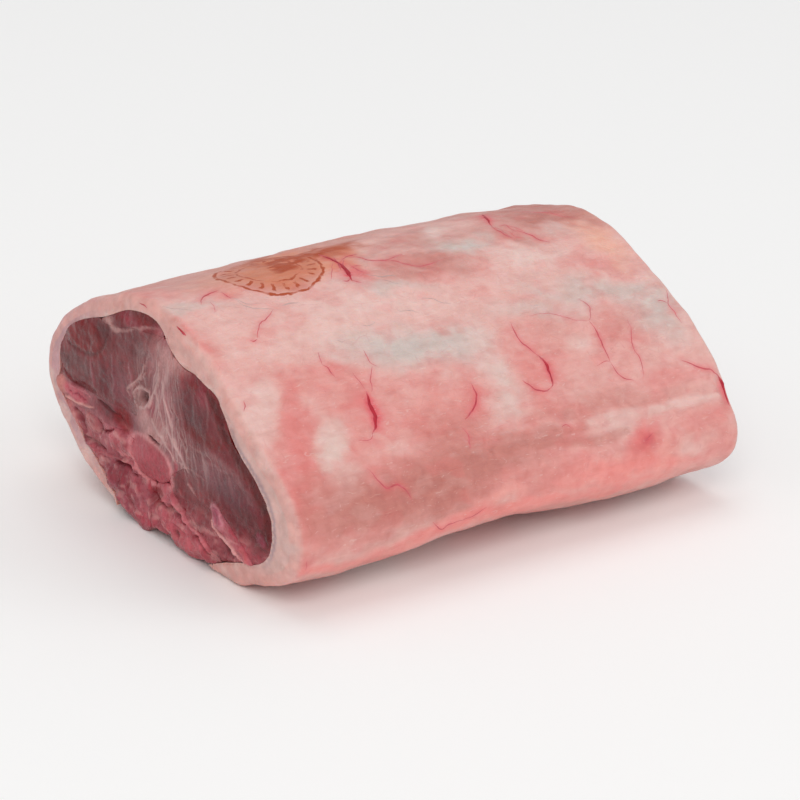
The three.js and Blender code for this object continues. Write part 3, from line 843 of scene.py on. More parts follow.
SKIN_PATCHES = [
    # the whole flank is a little darker than the top: pinker, with painted shade in dusky pink low on it
    patch((430, 450), (150, 62), -14, SALMON, 0.68),
    patch((600, 440), (130, 44), -14, SALMON, 0.45),
    patch((560, 332), (90, 24), 4, SALMON, 0.2),
    patch((300, 500), (34, 70), 8, SALMON, 0.8),
    patch((304, 506), (18, 36), 8, SHADE_AND_DUSKY_PINK, 0.35),
    # along the top, from the near end
    patch((130, 300), (38, 8), -16, SALMON, 0.7),
    patch((92, 313), (20, 7), -25, COOL, 0.5),
    patch((180, 311), (46, 5), -2, COOL, 0.5),
    patch((222, 297), (18, 7), 0, BLUSH, 0.3),
    patch((200, 345), (26, 9), 25, SALMON, 0.8),
    patch((180, 330), (13, 6), 38, BLUSH, 0.5),
    patch((204, 366), (17, 9), 42, SALMON, 0.8),
    patch((160, 345), (12, 22), -30, MILK, 0.7),
    patch((278, 268), (68, 16), -12, STAIN, 0.9),
    patch((345, 255), (22, 9), -12, "#DB8460", 0.7),
    patch((352, 272), (15, 10), 25, "#DD6468", 0.75),
    patch((372, 250), (10, 7), 0, MILK, 0.6),
    patch((425, 262), (48, 11), -8, SHADE_AND_DUSKY_PINK, 0.75),
    patch((420, 240), (50, 6), -14, SHADE_AND_DUSKY_PINK, 0.6),
    patch((430, 232), (16, 6), -10, MILK, 0.8),
    patch((465, 242), (34, 9), -6, COOL, 0.95),
    patch((385, 283), (36, 5), 0, COOL, 0.6),
    patch((380, 302), (70, 12), -4, MILK, 0.6),
    patch((330, 328), (60, 14), 0, MILK, 0.4),
    patch((405, 345), (64, 19), -6, COOL, 0.9),
    patch((470, 345), (26, 20), 0, COOL, 0.5),
    # beside the near face
    patch((250, 400), (24, 46), 24, MILK, 0.6),
    patch((300, 378), (62, 13), 4, SALMON, 0.65),
    patch((294, 410), (13, 40), -4, SALMON, 0.9),
    patch((294, 402), (8, 20), -4, BLUSH, 0.35),
    patch((290, 480), (19, 60), 6, BLUSH, 0.5),
    patch((330, 440), (14, 31), -4, "#DFC2BA", 0.95, soft=0.6),
    # the middle of the flank, with painted shade in dusky pink over its lower part
    patch((352, 405), (30, 30), 0, SALMON, 0.6),
    patch((362, 402), (13, 10), 0, BLUSH, 0.4),
    patch((440, 404), (44, 26), 0, SALMON, 0.5),
    patch((455, 440), (38, 26), 0, SHADE_AND_DUSKY_PINK, 0.5),
    patch((350, 472), (20, 13), 0, MILK, 0.6),
    patch((396, 446), (24, 8), -6, MILK, 0.25),
    patch((400, 498), (96, 30), -10, SHADE_AND_DUSKY_PINK, 1),
    patch((480, 468), (60, 24), -14, SHADE_AND_DUSKY_PINK, 0.85),
    patch((320, 545), (34, 16), -8, SALMON, 0.5),
    # the white patch and what lies past it
    patch((497, 377), (18, 48), -22, "#DFC1BA", 0.95),
    patch((540, 366), (28, 24), 0, SALMON, 0.6),
    patch((612, 350), (26, 40), 0, SALMON, 0.3),
    patch((560, 330), (30, 14), 0, ROSE_PINK, 0.1),
    patch((540, 310), (44, 9), 0, COOL, 0.5),
    patch((592, 292), (62, 10), 6, COOL, 0.65),
    patch((580, 336), (14, 6), 0, MILK, 0.7),
    patch((552, 328), (24, 10), 0, SHADE_AND_DUSKY_PINK, 0.25),
    patch((620, 332), (20, 14), 0, SHADE_AND_DUSKY_PINK, 0.3),
    patch((655, 312), (34, 20), 40, COOL, 0.75),
    patch((668, 374), (26, 11), 0, BLUSH, 0.45),
    patch((600, 402), (76, 12), -8, SHADE_AND_DUSKY_PINK, 0.45),
    # the far end of the top
    patch((545, 213), (66, 10), 4, SHADE_AND_DUSKY_PINK, 0.95),
    patch((520, 232), (34, 8), 8, SHADE_AND_DUSKY_PINK, 0.6),
    patch((548, 230), (16, 5), 0, COOL, 0.2),
    patch((535, 259), (28, 12), 0, MILK, 0.9),
    patch((600, 242), (30, 12), 30, "#EDAC94", 0.7),
    patch((606, 268), (36, 8), 4, SALMON, 0.5),
    # the ridge and the flap under it: a painted highlight in milk along the ridge, and painted shade in dusky
    # pink beside and under it
    strand([(590, 421), (650, 409), (718, 396)], 9, MILK, 0.6),
    strand([(500, 437), (545, 430), (590, 424)], 8, SHADE_AND_DUSKY_PINK, 0.5),
    patch((612, 426), (20, 8), -12, MILK, 0.6),
    strand([(490, 452), (540, 443), (600, 438), (630, 432)], 11, SHADE_AND_DUSKY_PINK, 0.6),
    patch((540, 480), (60, 12), -12, SALMON, 0.6),
    patch((498, 501), (24, 8), -14, "#F2A79E", 0.6),
    patch((640, 462), (60, 13), -10, ROSE_PINK, 0.85),
    patch((600, 482), (70, 9), -12, ROSE_PINK, 0.7),
    patch((666, 446), (26, 10), -14, "#E8948A", 0.5),
    patch((700, 425), (24, 16), -20, SALMON, 0.7),
    patch((692, 447), (12, 6), -20, MILK, 0.5),
    patch((643, 437), (19, 12), -20, BLUSH, 0.95),
    patch((649, 437), (8, 4), -20, "#C44C55", 0.7),
    patch((725, 425), (10, 30), 0, SALMON, 0.7),
    # the pink lower edge
    strand([(300, 572), (380, 556), (450, 524), (530, 504), (620, 488)], 11, ROSE_PINK, 0.8),
]

# Low folds of the skin: runs of pixels of the photograph, with a width in pixels and a rise in mm.
SKIN_FOLDS = [
    ([(490, 439), (540, 428), (600, 418), (650, 408), (717, 396)], 9, 0.7),
    ([(490, 452), (540, 442), (600, 433), (640, 425)], 8, -0.5),
    ([(176, 327), (186, 337), (192, 345)], 7, -0.7),
    ([(395, 262), (420, 266), (450, 257)], 6, -0.5),
    ([(590, 268), (615, 262), (640, 258)], 7, -0.5),
    ([(500, 225), (520, 236), (545, 242)], 7, -0.4),
    ([(365, 392), (374, 412), (375, 432)], 8, -0.4),
    ([(718, 376), (726, 396), (730, 408)], 8, -0.8),
    ([(380, 470), (395, 485), (412, 500)], 9, -0.4),
    ([(310, 410), (316, 450), (324, 480)], 8, -0.35),
]

# Veins, as runs of pixels of the photograph with the vein's widest radius in mm.
VEINS = [
    (0.55, [(319, 254), (330, 259), (340, 264), (347, 271)]),
    (0.85, [(338, 262), (346, 270), (350, 277), (352, 281)]),
    (0.35, [(340, 262), (346, 257), (358, 254)]),
    (0.4, [(333, 257), (338, 263), (341, 270)]),
    (0.35, [(344, 259), (343, 266), (347, 273), (353, 275)]),
    (0.25, [(350, 268), (356, 266), (362, 266)]),
    (0.3, [(351, 277), (347, 281), (343, 281)]),
    (0.28, [(346, 258), (357, 257), (370, 260), (384, 260), (396, 256), (402, 254)]),
    (0.22, [(385, 259), (395, 261), (405, 264), (418, 266), (430, 264), (445, 258)]),
    (0.25, [(349, 265), (358, 270), (366, 273)]),
    (0.25, [(352, 279), (356, 282), (361, 283)]),
    (0.16, [(332, 262), (332, 272), (331, 280)]),
    (0.35, [(219, 290), (210, 293), (204, 297), (201, 300), (202, 305)]),
    (0.3, [(222, 292), (228, 296), (232, 298)]),
    (0.16, [(209, 302), (214, 307), (215, 313)]),
    (0.24, [(272, 309), (270, 315), (265, 319), (261, 321), (259, 328), (257, 338)]),
    (0.3, [(257, 339), (253, 341), (249, 340)]),
    (0.16, [(318, 352), (320, 358), (322, 364)]),
    (0.28, [(322, 364), (328, 367), (333, 374), (336, 378)]),
    (0.16, [(363, 349), (368, 358), (373, 364), (377, 367)]),
    (0.2, [(372, 366), (371, 378), (371, 392)]),
    (0.16, [(353, 373), (358, 380), (364, 389)]),
    (0.85, [(366, 391), (369, 398), (371, 406), (374, 413), (376, 421), (375, 429), (373, 434)]),
    (0.2, [(374, 433), (370, 440), (358, 441)]),
    (0.45, [(471, 383), (474, 389), (477, 395), (476, 404), (472, 411), (466, 420)]),
    (0.2, [(462, 428), (468, 436), (470, 444), (471, 450)]),
    (0.3, [(511, 322), (513, 330), (520, 340), (530, 349), (541, 358)]),
    (0.55, [(538, 355), (545, 363), (550, 373), (553, 384), (551, 388)]),
    (0.35, [(552, 386), (548, 391), (541, 391), (533, 388), (527, 384), (522, 380)]),
    (0.2, [(579, 299), (585, 302), (590, 307), (590, 314), (589, 321)]),
    (0.14, [(528, 316), (540, 314), (552, 314), (565, 317), (578, 320), (589, 321)]),
    (0.3, [(589, 321), (597, 332), (602, 343), (606, 354), (610, 362)]),
    (0.22, [(610, 362), (616, 370), (624, 378), (634, 380)]),
    (0.15, [(596, 366), (604, 362), (610, 361)]),
    (0.22, [(628, 318), (630, 330), (633, 345), (640, 357), (643, 368), (643, 378)]),
    (0.32, [(682, 361), (692, 365), (702, 367), (711, 371), (719, 378)]),
    (0.75, [(717, 376), (722, 385), (726, 396), (730, 406)]),
    (0.65, [(483, 214), (487, 219), (492, 227)]),
    (0.32, [(491, 226), (499, 231), (506, 236), (515, 238)]),
    (0.25, [(498, 226), (506, 225), (512, 229), (516, 232)]),
    (0.15, [(492, 226), (500, 229), (508, 236), (516, 242)]),
    (0.15, [(499, 230), (508, 231), (516, 236), (526, 238)]),
    (0.14, [(505, 225), (514, 227), (524, 232)]),
    (0.28, [(515, 230), (530, 235), (540, 240), (550, 243)]),
    (0.22, [(505, 212), (530, 212), (550, 213), (562, 216), (580, 218)]),
    (0.3, [(432, 522), (437, 527), (441, 530), (450, 524), (462, 520)]),
    (0.25, [(460, 521), (475, 515), (487, 507)]),
    (0.22, [(308, 560), (306, 566), (304, 572)]),
    (0.3, [(367, 469), (374, 475), (381, 482), (388, 488), (392, 487), (397, 484), (406, 490), (412, 501)]),
    (0.5, [(176, 327), (181, 332), (186, 336)]),
    (0.2, [(158, 325), (163, 333), (169, 343), (171, 349)]),
    (0.28, [(139, 302), (144, 305), (148, 308)]),
    (0.2, [(667, 290), (668, 298), (669, 304), (674, 313), (681, 323)]),
    (0.18, [(658, 301), (664, 301), (669, 304)]),
    (0.18, [(244, 400), (245, 406), (244, 412)]),
    (0.2, [(562, 427), (566, 424), (570, 427)]),
    (0.2, [(642, 441), (648, 437), (653, 432)]),
]

# Short grey streaks where the membrane was pulled, in the same way.
STREAKS = [
    (0.18, [(160, 306), (175, 309), (196, 311)]),
    (0.2, [(235, 300), (245, 305), (258, 308), (275, 308)]),
    (0.32, [(282, 306), (289, 304), (298, 303)]),
    (0.3, [(366, 275), (380, 276), (392, 275), (398, 278)]),
    (0.18, [(370, 278), (385, 280), (400, 284)]),
    (0.2, [(420, 299), (430, 299), (440, 302), (450, 304)]),
    (0.18, [(396, 306), (400, 311), (412, 311), (420, 313)]),
    (0.18, [(362, 325), (368, 326), (375, 321)]),
    (0.18, [(336, 340), (342, 342), (347, 340)]),
    (0.18, [(228, 296), (246, 303), (262, 303)]),
]


def on_skin(tree, pixel):
    """The place on the skin that the camera sees at a pixel of the photograph."""
    return tree.ray_cast(Vector(CAMERA_PLACE), sight(pixel))[0]


HIDDEN_MOTTLES = [  # in place of the patches, where the photograph doesn't show the skin
    (SALMON, 0.7, -0.1, 0.9, (34, 20, 20), 65),
    (COOL, 0.6, 0.1, 1.0, (30, 16, 16), 66),
    (SHADE_AND_DUSKY_PINK, 0.6, 0.1, 1.0, (40, 14, 14), 64),
    (MILK, 0.8, 0.2, 0.7, (20, 12, 12), 67),
]
SKIN_MOTTLES = [  # finer, all over
    (BLUSH, 0.2, 0.2, 0.8, (7, 5, 5), 68),
    (MILK, 0.13, 0.2, 0.8, (6, 4, 4), 69),
    (SHADE_AND_DUSKY_PINK, 0.13, 0.3, 1.0, (5, 2.4, 2.4), 70),
]


def skin_colours(places, outward, veins):
    """The skin's colours: patches, painted shade where it turns away from the camera, mottles and blood round
    the veins.
    """
    seen = pixels_of(places)
    calm = shifted(seen, places, 2.5, 8, 46)
    seen = shifted(shifted(seen, places, 7, 14, 61), places, 2.5, 4, 63)
    facing = (outward * (CAMERA_PLACE - places) / CAMERA_DISTANCE).sum(1)
    shown = ease(-0.05, 0.1, facing)
    colours = np.tile(linear(CREAM), (len(places), 1))
    for mark in SKIN_PATCHES:
        where = calm if "points" in mark else seen
        colours = toward(colours, mark["colour"], mark["strength"] * shown * cover(mark, *where.T))
    # painted shade: the skin turns darker where it turns away from the camera
    colours = toward(colours, SHADE_AND_DUSKY_PINK, 0.5 * shown * ease(0.3, 0.05, facing))
    colours = mottled(colours, places, HIDDEN_MOTTLES, 1 - shown)
    colours = mottled(colours, places, SKIN_MOTTLES, 1)
    far, which = nearest(places, np.vstack([line for _, (line, _) in veins]))
    width = np.concatenate([radius * fullness(len(line)) for radius, (line, _) in veins])[which]
    halo = width * (1.1 * np.exp(-((far / (0.6 + 1.4 * width)) ** 2)) + 0.35 * np.exp(-((far / 4.5) ** 2)))
    return toward(colours, "#E04A5A", halo.clip(0, 0.85))


def fat_face_colours(places, end, to_skin, to_meat):
    """The cut fat: pale, pinker under the skin and on the left, with a grey line beside the right loin."""
    y, z = on_near_face(places, end)
    spots = on_own_face(y, z, end)
    colours = np.tile(linear("#D8AFA8"), (len(y), 1))
    colours = toward(colours, "#DCA49C", ease(45, 75, z) * 0.8)
    colours = toward(colours, "#DA9A92", ease(16, 6, z) * 0.7)
    colours = toward(colours, "#C08D94", ease(30, 62, y) * 0.8)
    colours = toward(colours, "#DFA59D", ease(1.8, 0.2, to_skin) * 0.7)
    colours = toward(colours, "#DFB9B2", 0.7 * ease(0.2, 0.8, lumps(spots, (9, 7, 9), 73)))
    line = np.exp(-(((to_meat - 1.6 - 0.4 * lumps(spots, 9, 71)) / 0.7) ** 2))
    colours = toward(colours, "#A0858C", 0.75 * line * ease(-30, -42, y) * ease(10, 20, z))
    colours = toward(colours, "#B5705F", 0.6 * ease(1.2, 0.2, to_meat) * ease(-24, -34, y) * ease(12, 9, z))
    return colours * (1 + 0.08 * lumps(spots, 3, 72))[:, None]


def meat_side_colours(node, places):
    """The long sides of the meat, seen from underneath: dark lean with strips of silverskin and fat."""
    colours = np.tile(linear(MEAT_COLOURS[node]), (len(places), 1))
    return mottled(colours, places, SIDE_MOTTLES, 1)


# ---- materials --------------------------------------------------------------------------------------


def add(tree, kind, inputs=None, settings=None, output=None):
    """Adds a shader node with its settings, sets or links its inputs, and returns one of its outputs."""
    node = tree.nodes.new("ShaderNode" + kind)
    for name, value in (settings or {}).items():
        setattr(node, name, value)
    for name, value in (inputs or {}).items():
        if isinstance(name, int):
            socket = node.inputs[name]
        else:
            socket = next(socket for socket in node.inputs if socket.name == name and socket.enabled)
        if isinstance(value, bpy.types.NodeSocket):
            tree.links.new(value, socket)
        else:
            socket.default_value = value
    return next((socket for socket in node.outputs if socket.enabled and output in (None, socket.name)), None)


def new_material(name):
    material = bpy.data.materials.new(name)
    material.use_nodes = True
    material.node_tree.nodes.clear()
    return material, material.node_tree


def per_mm(*sizes):
    """The scale that turns metres into counts of these sizes in mm."""
    return tuple(1 / (size * MM) for size in sizes)


SOFT_LIGHT = {"data_type": "RGBA", "blend_type": "SOFT_LIGHT"}
OVER = {"data_type": "RGBA", "blend_type": "MIX"}
SMOOTH = {"interpolation_type": "SMOOTHSTEP"}
TIMES = {"operation": "MULTIPLY"}
TIMES_PLUS = {"operation": "MULTIPLY_ADD"}
MINUS = {"operation": "SUBTRACT"}
UNSIGNED = {"operation": "ABSOLUTE"}
GREATER = {"operation": "MAXIMUM"}


def raw_lamb():
    """Raw lamb cut across its fibres: dark and moist, in fine bundles that catch a soft shine."""
    material, tree = new_material("raw_lamb")
    place = add(tree, "TexCoord", output="Object")
    tint = add(tree, "Attribute", settings={"attribute_name": "tint"}, output="Color")
    haze = add(tree, "Attribute", settings={"attribute_name": "haze"}, output="Fac")
    lie = add(tree, "Attribute", settings={"attribute_name": "fibre_place"}, output="Vector")
    # bundles of fibres are 1 to 2 mm thick and show for about 12 mm; their attribute is in mm
    fibres = add(tree, "Mapping", {"Vector": lie, "Scale": (1 / 1.5, 1 / 12, 1 / 12)})
    fibres = add(tree, "TexNoise", {"Vector": fibres, "Scale": 1, "Detail": 3, "Distortion": 0.4})
    # threads of sinew between them are finer
    fine = add(tree, "Mapping", {"Vector": lie, "Scale": (1 / 0.9, 1 / 16, 1 / 10)})
    fine = add(tree, "TexNoise", {"Vector": fine, "Scale": 1, "Detail": 2, "Distortion": 0.5})
    grain = add(tree, "TexNoise", {"Vector": place, "Scale": per_mm(1.6)[0], "Detail": 4})
    colour = add(tree, "Mix", {"Factor": 0.42, "A": tint, "B": fibres}, SOFT_LIGHT)
    colour = add(tree, "Mix", {"Factor": 0.45, "A": colour, "B": grain}, SOFT_LIGHT)
    # white threads of sinew, thick where the haze lies and a few elsewhere
    thread = add(tree, "MapRange", {"Value": fine, "From Min": 0.48, "From Max": 0.66}, SMOOTH)
    thickness = add(tree, "Math", {0: haze, 1: 0.85, 2: 0.02}, TIMES_PLUS)
    threads = add(tree, "Math", {0: thread, 1: thickness}, TIMES)
    sinew = (*linear("#C09C9A"), 1)
    colour = add(tree, "Mix", {"Factor": threads, "A": colour, "B": sinew}, OVER)
    veil = add(tree, "Math", {0: haze, 1: 0.2}, TIMES)
    colour = add(tree, "Mix", {"Factor": veil, "A": colour, "B": sinew}, OVER)
    # a wet film pools between the bundles
    roughness = add(tree, "MapRange", {
        "Value": grain, "From Min": 0.35, "From Max": 0.65, "To Min": 0.2, "To Max": 0.46,
    })
    bump = add(tree, "Bump", {"Height": fibres, "Strength": 0.4, "Distance": 0.3 * MM})
    bump = add(tree, "Bump", {"Height": grain, "Strength": 0.5, "Distance": 0.4 * MM, "Normal": bump})
    shader = add(tree, "BsdfPrincipled", {
        "Base Color": colour, "Roughness": roughness, "IOR": 1.38, "Normal": bump,
        "Subsurface Weight": 0.12, "Subsurface Radius": (1.0, 0.25, 0.18), "Subsurface Scale": 2.0 * MM,
    })
    add(tree, "OutputMaterial", {"Surface": shader})
    return material


def sawn_bone():
    """Raw bone and the gristle round it, sawn across: pale red, spongy, with fine pores full of marrow."""
    material, tree = new_material("sawn_bone")
    place = add(tree, "TexCoord", output="Object")
    tint = add(tree, "Attribute", settings={"attribute_name": "tint"}, output="Color")
    haze = add(tree, "Attribute", settings={"attribute_name": "haze"}, output="Fac")
    # the pores of a lumbar vertebra are 0.5 to 1 mm apart
    pores = add(tree, "TexVoronoi", {"Vector": place, "Scale": per_mm(0.9)[0]}, output="Distance")
    streaks = add(tree, "Attribute", settings={"attribute_name": "fibre_place"}, output="Vector")
    streaks = add(tree, "Mapping", {"Vector": streaks, "Scale": (1 / 0.9, 1 / 12, 1 / 8)})
    streaks = add(tree, "TexNoise", {"Vector": streaks, "Scale": 1, "Detail": 2, "Distortion": 0.5})
    cloud = add(tree, "TexNoise", {"Vector": place, "Scale": per_mm(2.5)[0], "Detail": 4})
    colour = add(tree, "Mix", {"Factor": 0.25, "A": tint, "B": pores}, SOFT_LIGHT)
    colour = add(tree, "Mix", {"Factor": 0.4, "A": colour, "B": cloud}, SOFT_LIGHT)
    thread = add(tree, "MapRange", {"Value": streaks, "From Min": 0.45, "From Max": 0.65}, SMOOTH)
    threads = add(tree, "Math", {0: thread, 1: haze}, TIMES)
    sinew = (*linear("#C7A29F"), 1)
    colour = add(tree, "Mix", {"Factor": threads, "A": colour, "B": sinew}, OVER)
    roughness = add(tree, "MapRange", {
        "Value": cloud, "From Min": 0.35, "From Max": 0.65, "To Min": 0.35, "To Max": 0.55,
    })
    bump = add(tree, "Bump", {"Height": pores, "Strength": 0.35, "Distance": 0.25 * MM})
    bump = add(tree, "Bump", {"Height": streaks, "Strength": 0.5, "Distance": 0.4 * MM, "Normal": bump})
    shader = add(tree, "BsdfPrincipled", {
        "Base Color": colour, "Roughness": roughness, "IOR": 1.42, "Normal": bump,
        "Subsurface Weight": 0.15, "Subsurface Radius": (1.0, 0.4, 0.3), "Subsurface Scale": 2.0 * MM,
    })
    add(tree, "OutputMaterial", {"Surface": shader})
    return material


# A plain round mark of ink: its middle is a pixel of the photograph, and its rings and ticks are in mm.
INK_PIXEL = (269, 271)
INK_RINGS = ((18.5, 0.5), (11, 0.35))  # the radius of each and half its width
INK_TICKS = 22
TICK_RADIUS = 14.5
SOAKED = (19.5, 16.5)  # the radius where a thin stain starts, and where it is full
INK_BLOTCHES = [
    patch((284, 265), (16, 8), -10, strength=1.5, soft=0.5),
    patch((260, 262), (14, 5), -10, strength=0.7),
    patch((302, 257), (18, 5), -14, strength=0.7),
    patch((336, 251), (24, 5), -12, strength=0.9),
    patch((234, 275), (9, 6), -8, strength=0.5),
]


def ink_strength(tree):
    """How strongly the ink of the round mark lies on the fat: worn rings, ticks between them and blotches."""
    ink = add(tree, "Attribute", settings={"attribute_name": "ink"}, output="Vector")
    wobble = add(tree, "TexNoise", {"Vector": ink, "Scale": 0.3, "Detail": 3}, output="Color")
    wobble = add(tree, "VectorMath", {0: wobble, 1: (0.5, 0.5, 0.5)}, MINUS)
    ink = add(tree, "VectorMath", {0: wobble, 1: (3, 3, 0), 2: ink}, TIMES_PLUS)
    split = {"Vector": ink}
    across = add(tree, "SeparateXYZ", split, output="X")
    up = add(tree, "SeparateXYZ", split, output="Y")
    radius = add(tree, "VectorMath", {0: ink}, {"operation": "LENGTH"}, output="Value")
    angle = add(tree, "Math", {0: up, 1: across}, {"operation": "ARCTAN2"})
    marks = []
    for middle, width in INK_RINGS:
        off = add(tree, "Math", {0: radius, 1: middle}, MINUS)
        off = add(tree, "Math", {0: off}, UNSIGNED)
        line = {"Value": off, "From Min": width + 0.35, "From Max": width - 0.2}
        marks.append(add(tree, "MapRange", line, SMOOTH))
    wave = add(tree, "Math", {0: angle, 1: INK_TICKS}, TIMES)
    wave = add(tree, "Math", {0: wave}, {"operation": "SINE"})
    tick = add(tree, "MapRange", {"Value": wave, "From Min": 0.2, "From Max": 0.8}, SMOOTH)
    off = add(tree, "Math", {0: radius, 1: TICK_RADIUS}, MINUS)
    off = add(tree, "Math", {0: off}, UNSIGNED)
    band = add(tree, "MapRange", {"Value": off, "From Min": 2.6, "From Max": 1.2}, SMOOTH)
    marks.append(add(tree, "Math", {0: tick, 1: band}, TIMES))
    total = marks[0]
    for mark in marks[1:]:
        total = add(tree, "Math", {0: total, 1: mark}, GREATER)
    worn = add(tree, "TexNoise", {"Vector": ink, "Scale": 0.16, "Detail": 3})
    worn = add(tree, "MapRange", {"Value": worn, "From Min": 0.3, "From Max": 0.5}, SMOOTH)
    total = add(tree, "Math", {0: total, 1: worn}, TIMES)
    soaked = {"Value": radius, "From Min": SOAKED[0], "From Max": SOAKED[1], "To Max": 0.28}
    soaked = add(tree, "MapRange", soaked, SMOOTH)
    total = add(tree, "Math", {0: total, 1: soaked}, GREATER)
    smear = add(tree, "Attribute", settings={"attribute_name": "smear"}, output="Fac")
    return add(tree, "Math", {0: total, 1: smear}, GREATER)


def lamb_fat():
    """Firm raw fat under its thin membrane: pale, soft-lit from within, with a silky uneven surface."""
    material, tree = new_material("lamb_fat")
    place = add(tree, "TexCoord", output="Object")
    tint = add(tree, "Attribute", settings={"attribute_name": "tint"}, output="Color")
    # fat lobules are about 4 mm wide, and the membrane is drawn into streaks along the back
    lobules = add(tree, "TexNoise", {"Vector": place, "Scale": per_mm(4)[0], "Detail": 4, "Distortion": 0.5})
    drawn = add(tree, "Mapping", {"Vector": place, "Scale": per_mm(22, 2.2, 2.2)})
    drawn = add(tree, "TexNoise", {"Vector": drawn, "Scale": 1, "Detail": 4, "Distortion": 0.8})
    fine = add(tree, "TexNoise", {"Vector": place, "Scale": per_mm(0.9)[0], "Detail": 3})
    colour = add(tree, "Mix", {"Factor": 0.4, "A": tint, "B": lobules}, SOFT_LIGHT)
    colour = add(tree, "Mix", {"Factor": 0.2, "A": colour, "B": drawn}, SOFT_LIGHT)
    # hair-fine vessels, patchy, drawn 0.6 mm wide so that they show
    web = add(tree, "TexVoronoi", {"Vector": place, "Scale": per_mm(11)[0]}, {"feature": "DISTANCE_TO_EDGE"})
    web = add(tree, "MapRange", {"Value": web, "From Min": 0.03, "From Max": 0.0}, SMOOTH)
    patchy = {"Value": drawn, "From Min": 0.52, "From Max": 0.66, "To Max": 0.2}
    patchy = add(tree, "MapRange", patchy, SMOOTH)
    web = add(tree, "Math", {0: web, 1: patchy}, TIMES)
    colour = add(tree, "Mix", {"Factor": web, "A": colour, "B": (*linear("#C4656B"), 1)}, OVER)
    # dry flecks of membrane, about 3 mm long
    flecks = add(tree, "Mapping", {"Vector": place, "Scale": per_mm(3, 1.1, 1.1)})
    flecks = add(tree, "TexNoise", {"Vector": flecks, "Scale": 1, "Detail": 3, "Distortion": 1.2})
    fleck = {"Value": flecks, "From Min": 0.62, "From Max": 0.74, "To Max": 0.25}
    fleck = add(tree, "MapRange", fleck, SMOOTH)
    colour = add(tree, "Mix", {"Factor": fleck, "A": colour, "B": (*linear("#EDD6CE"), 1)}, OVER)
    ink = ink_strength(tree)
    colour = add(tree, "Mix", {"Factor": ink, "A": colour, "B": (*linear("#B04516"), 1)}, OVER)
    roughness = add(tree, "MapRange", {
        "Value": lobules, "From Min": 0.3, "From Max": 0.7, "To Min": 0.4, "To Max": 0.58,
    })
    bump = add(tree, "Bump", {"Height": lobules, "Strength": 0.5, "Distance": 0.9 * MM})
    bump = add(tree, "Bump", {"Height": drawn, "Strength": 0.3, "Distance": 0.6 * MM, "Normal": bump})
    bump = add(tree, "Bump", {"Height": flecks, "Strength": 0.4, "Distance": 0.5 * MM, "Normal": bump})
    bump = add(tree, "Bump", {"Height": fine, "Strength": 0.3, "Distance": 0.2 * MM, "Normal": bump})
    shader = add(tree, "BsdfPrincipled", {
        "Base Color": colour, "Roughness": roughness, "IOR": 1.45, "Normal": bump,
        "Subsurface Weight": 0.3, "Subsurface Radius": (1.0, 0.45, 0.3), "Subsurface Scale": 3.0 * MM,
    })
    add(tree, "OutputMaterial", {"Surface": shader})
    return material


def vessel():
    """A thin vessel under the membrane: red with blood, darker here and there, with the membrane's shine."""
    material, tree = new_material("vessel_under_membrane")
    place = add(tree, "TexCoord", output="Object")
    tint = add(tree, "Attribute", settings={"attribute_name": "tint"}, output="Color")
    filled = add(tree, "TexNoise", {"Vector": place, "Scale": per_mm(2.5)[0], "Detail": 2})
    colour = add(tree, "Mix", {"Factor": 0.7, "A": tint, "B": filled}, SOFT_LIGHT)
    shader = add(tree, "BsdfPrincipled", {
        "Base Color": colour, "Roughness": 0.45, "IOR": 1.4,
        "Subsurface Weight": 0.2, "Subsurface Radius": (1.0, 0.3, 0.3), "Subsurface Scale": 1.0 * MM,
    })
    add(tree, "OutputMaterial", {"Surface": shader})
    return material


# ---- making the pieces ------------------------------------------------------------------------------


def fill(mesh, name, values):
    """Gives each point of a mesh a number, a direction or a colour under this name."""
    values = np.asarray(values, float)
    if values.ndim == 1:
        mesh.attributes.new(name, "FLOAT", "POINT").data.foreach_set("value", values)
    elif name == "tint":
        colours = np.column_stack([values.clip(0, 1), np.ones(len(values))])
        mesh.attributes.new(name, "FLOAT_COLOR", "POINT").data.foreach_set("color", colours.ravel())
    else:
        mesh.attributes.new(name, "FLOAT_VECTOR", "POINT").data.foreach_set("vector", values.ravel())


def place_piece(mesh, material, slot, *nodes):
    """Puts a piece in the scene, in place of these nodes."""
    piece = put_in_scene(mesh.name, mesh)
    mesh.materials.append(material)
    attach(piece, "root")
    if nodes:
        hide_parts(*nodes)


def make_meat(node, slot, material, start, **shape):
    """A muscle or a bone, with the colours of its cut faces running a little way along its sides."""
    bar = Bar(node, start, **shape).build(meat_rise, meat_swell)
    mesh = bar.mesh("cut_" + node)
    sides = bar.sides.reshape(-1, 3)
    from_end = np.repeat(bar.from_end, bar.sides.shape[1])
    colours, hazes = zip(*(meat_colours(node, sides, end) for end in ENDS))
    near = (sides[:, 0] < 0)[:, None]
    at_end = np.where(near, *colours)
    turned = ease(0.5, 5, from_end)
    tint = at_end + (meat_side_colours(node, sides) - at_end) * turned[:, None]
    haze = np.where(near[:, 0], *hazes) * (1 - turned)
    for end in ENDS:
        face_tint, face_haze = meat_colours(node, bar.faces[end], end)
        tint = np.vstack([tint, face_tint])
        haze = np.concatenate([haze, face_haze])
    fill(mesh, "tint", tint)
    fill(mesh, "haze", haze)
    fill(mesh, "fibre_place", fibre_places(node, bar.points))
    place_piece(mesh, material, slot, node)


def fullness(count):
    """How full a vein is at each of its points: it tapers to both ends."""
    return np.clip(np.sin(np.pi * np.linspace(0, 1, count)), 0.05, 1) ** 0.6


TUBE_SIDES = 6
TUBE_HEIGHT = 0.6  # of its width
TUBE_SUNK = 0.3  # of half its width, from the skin down to its middle


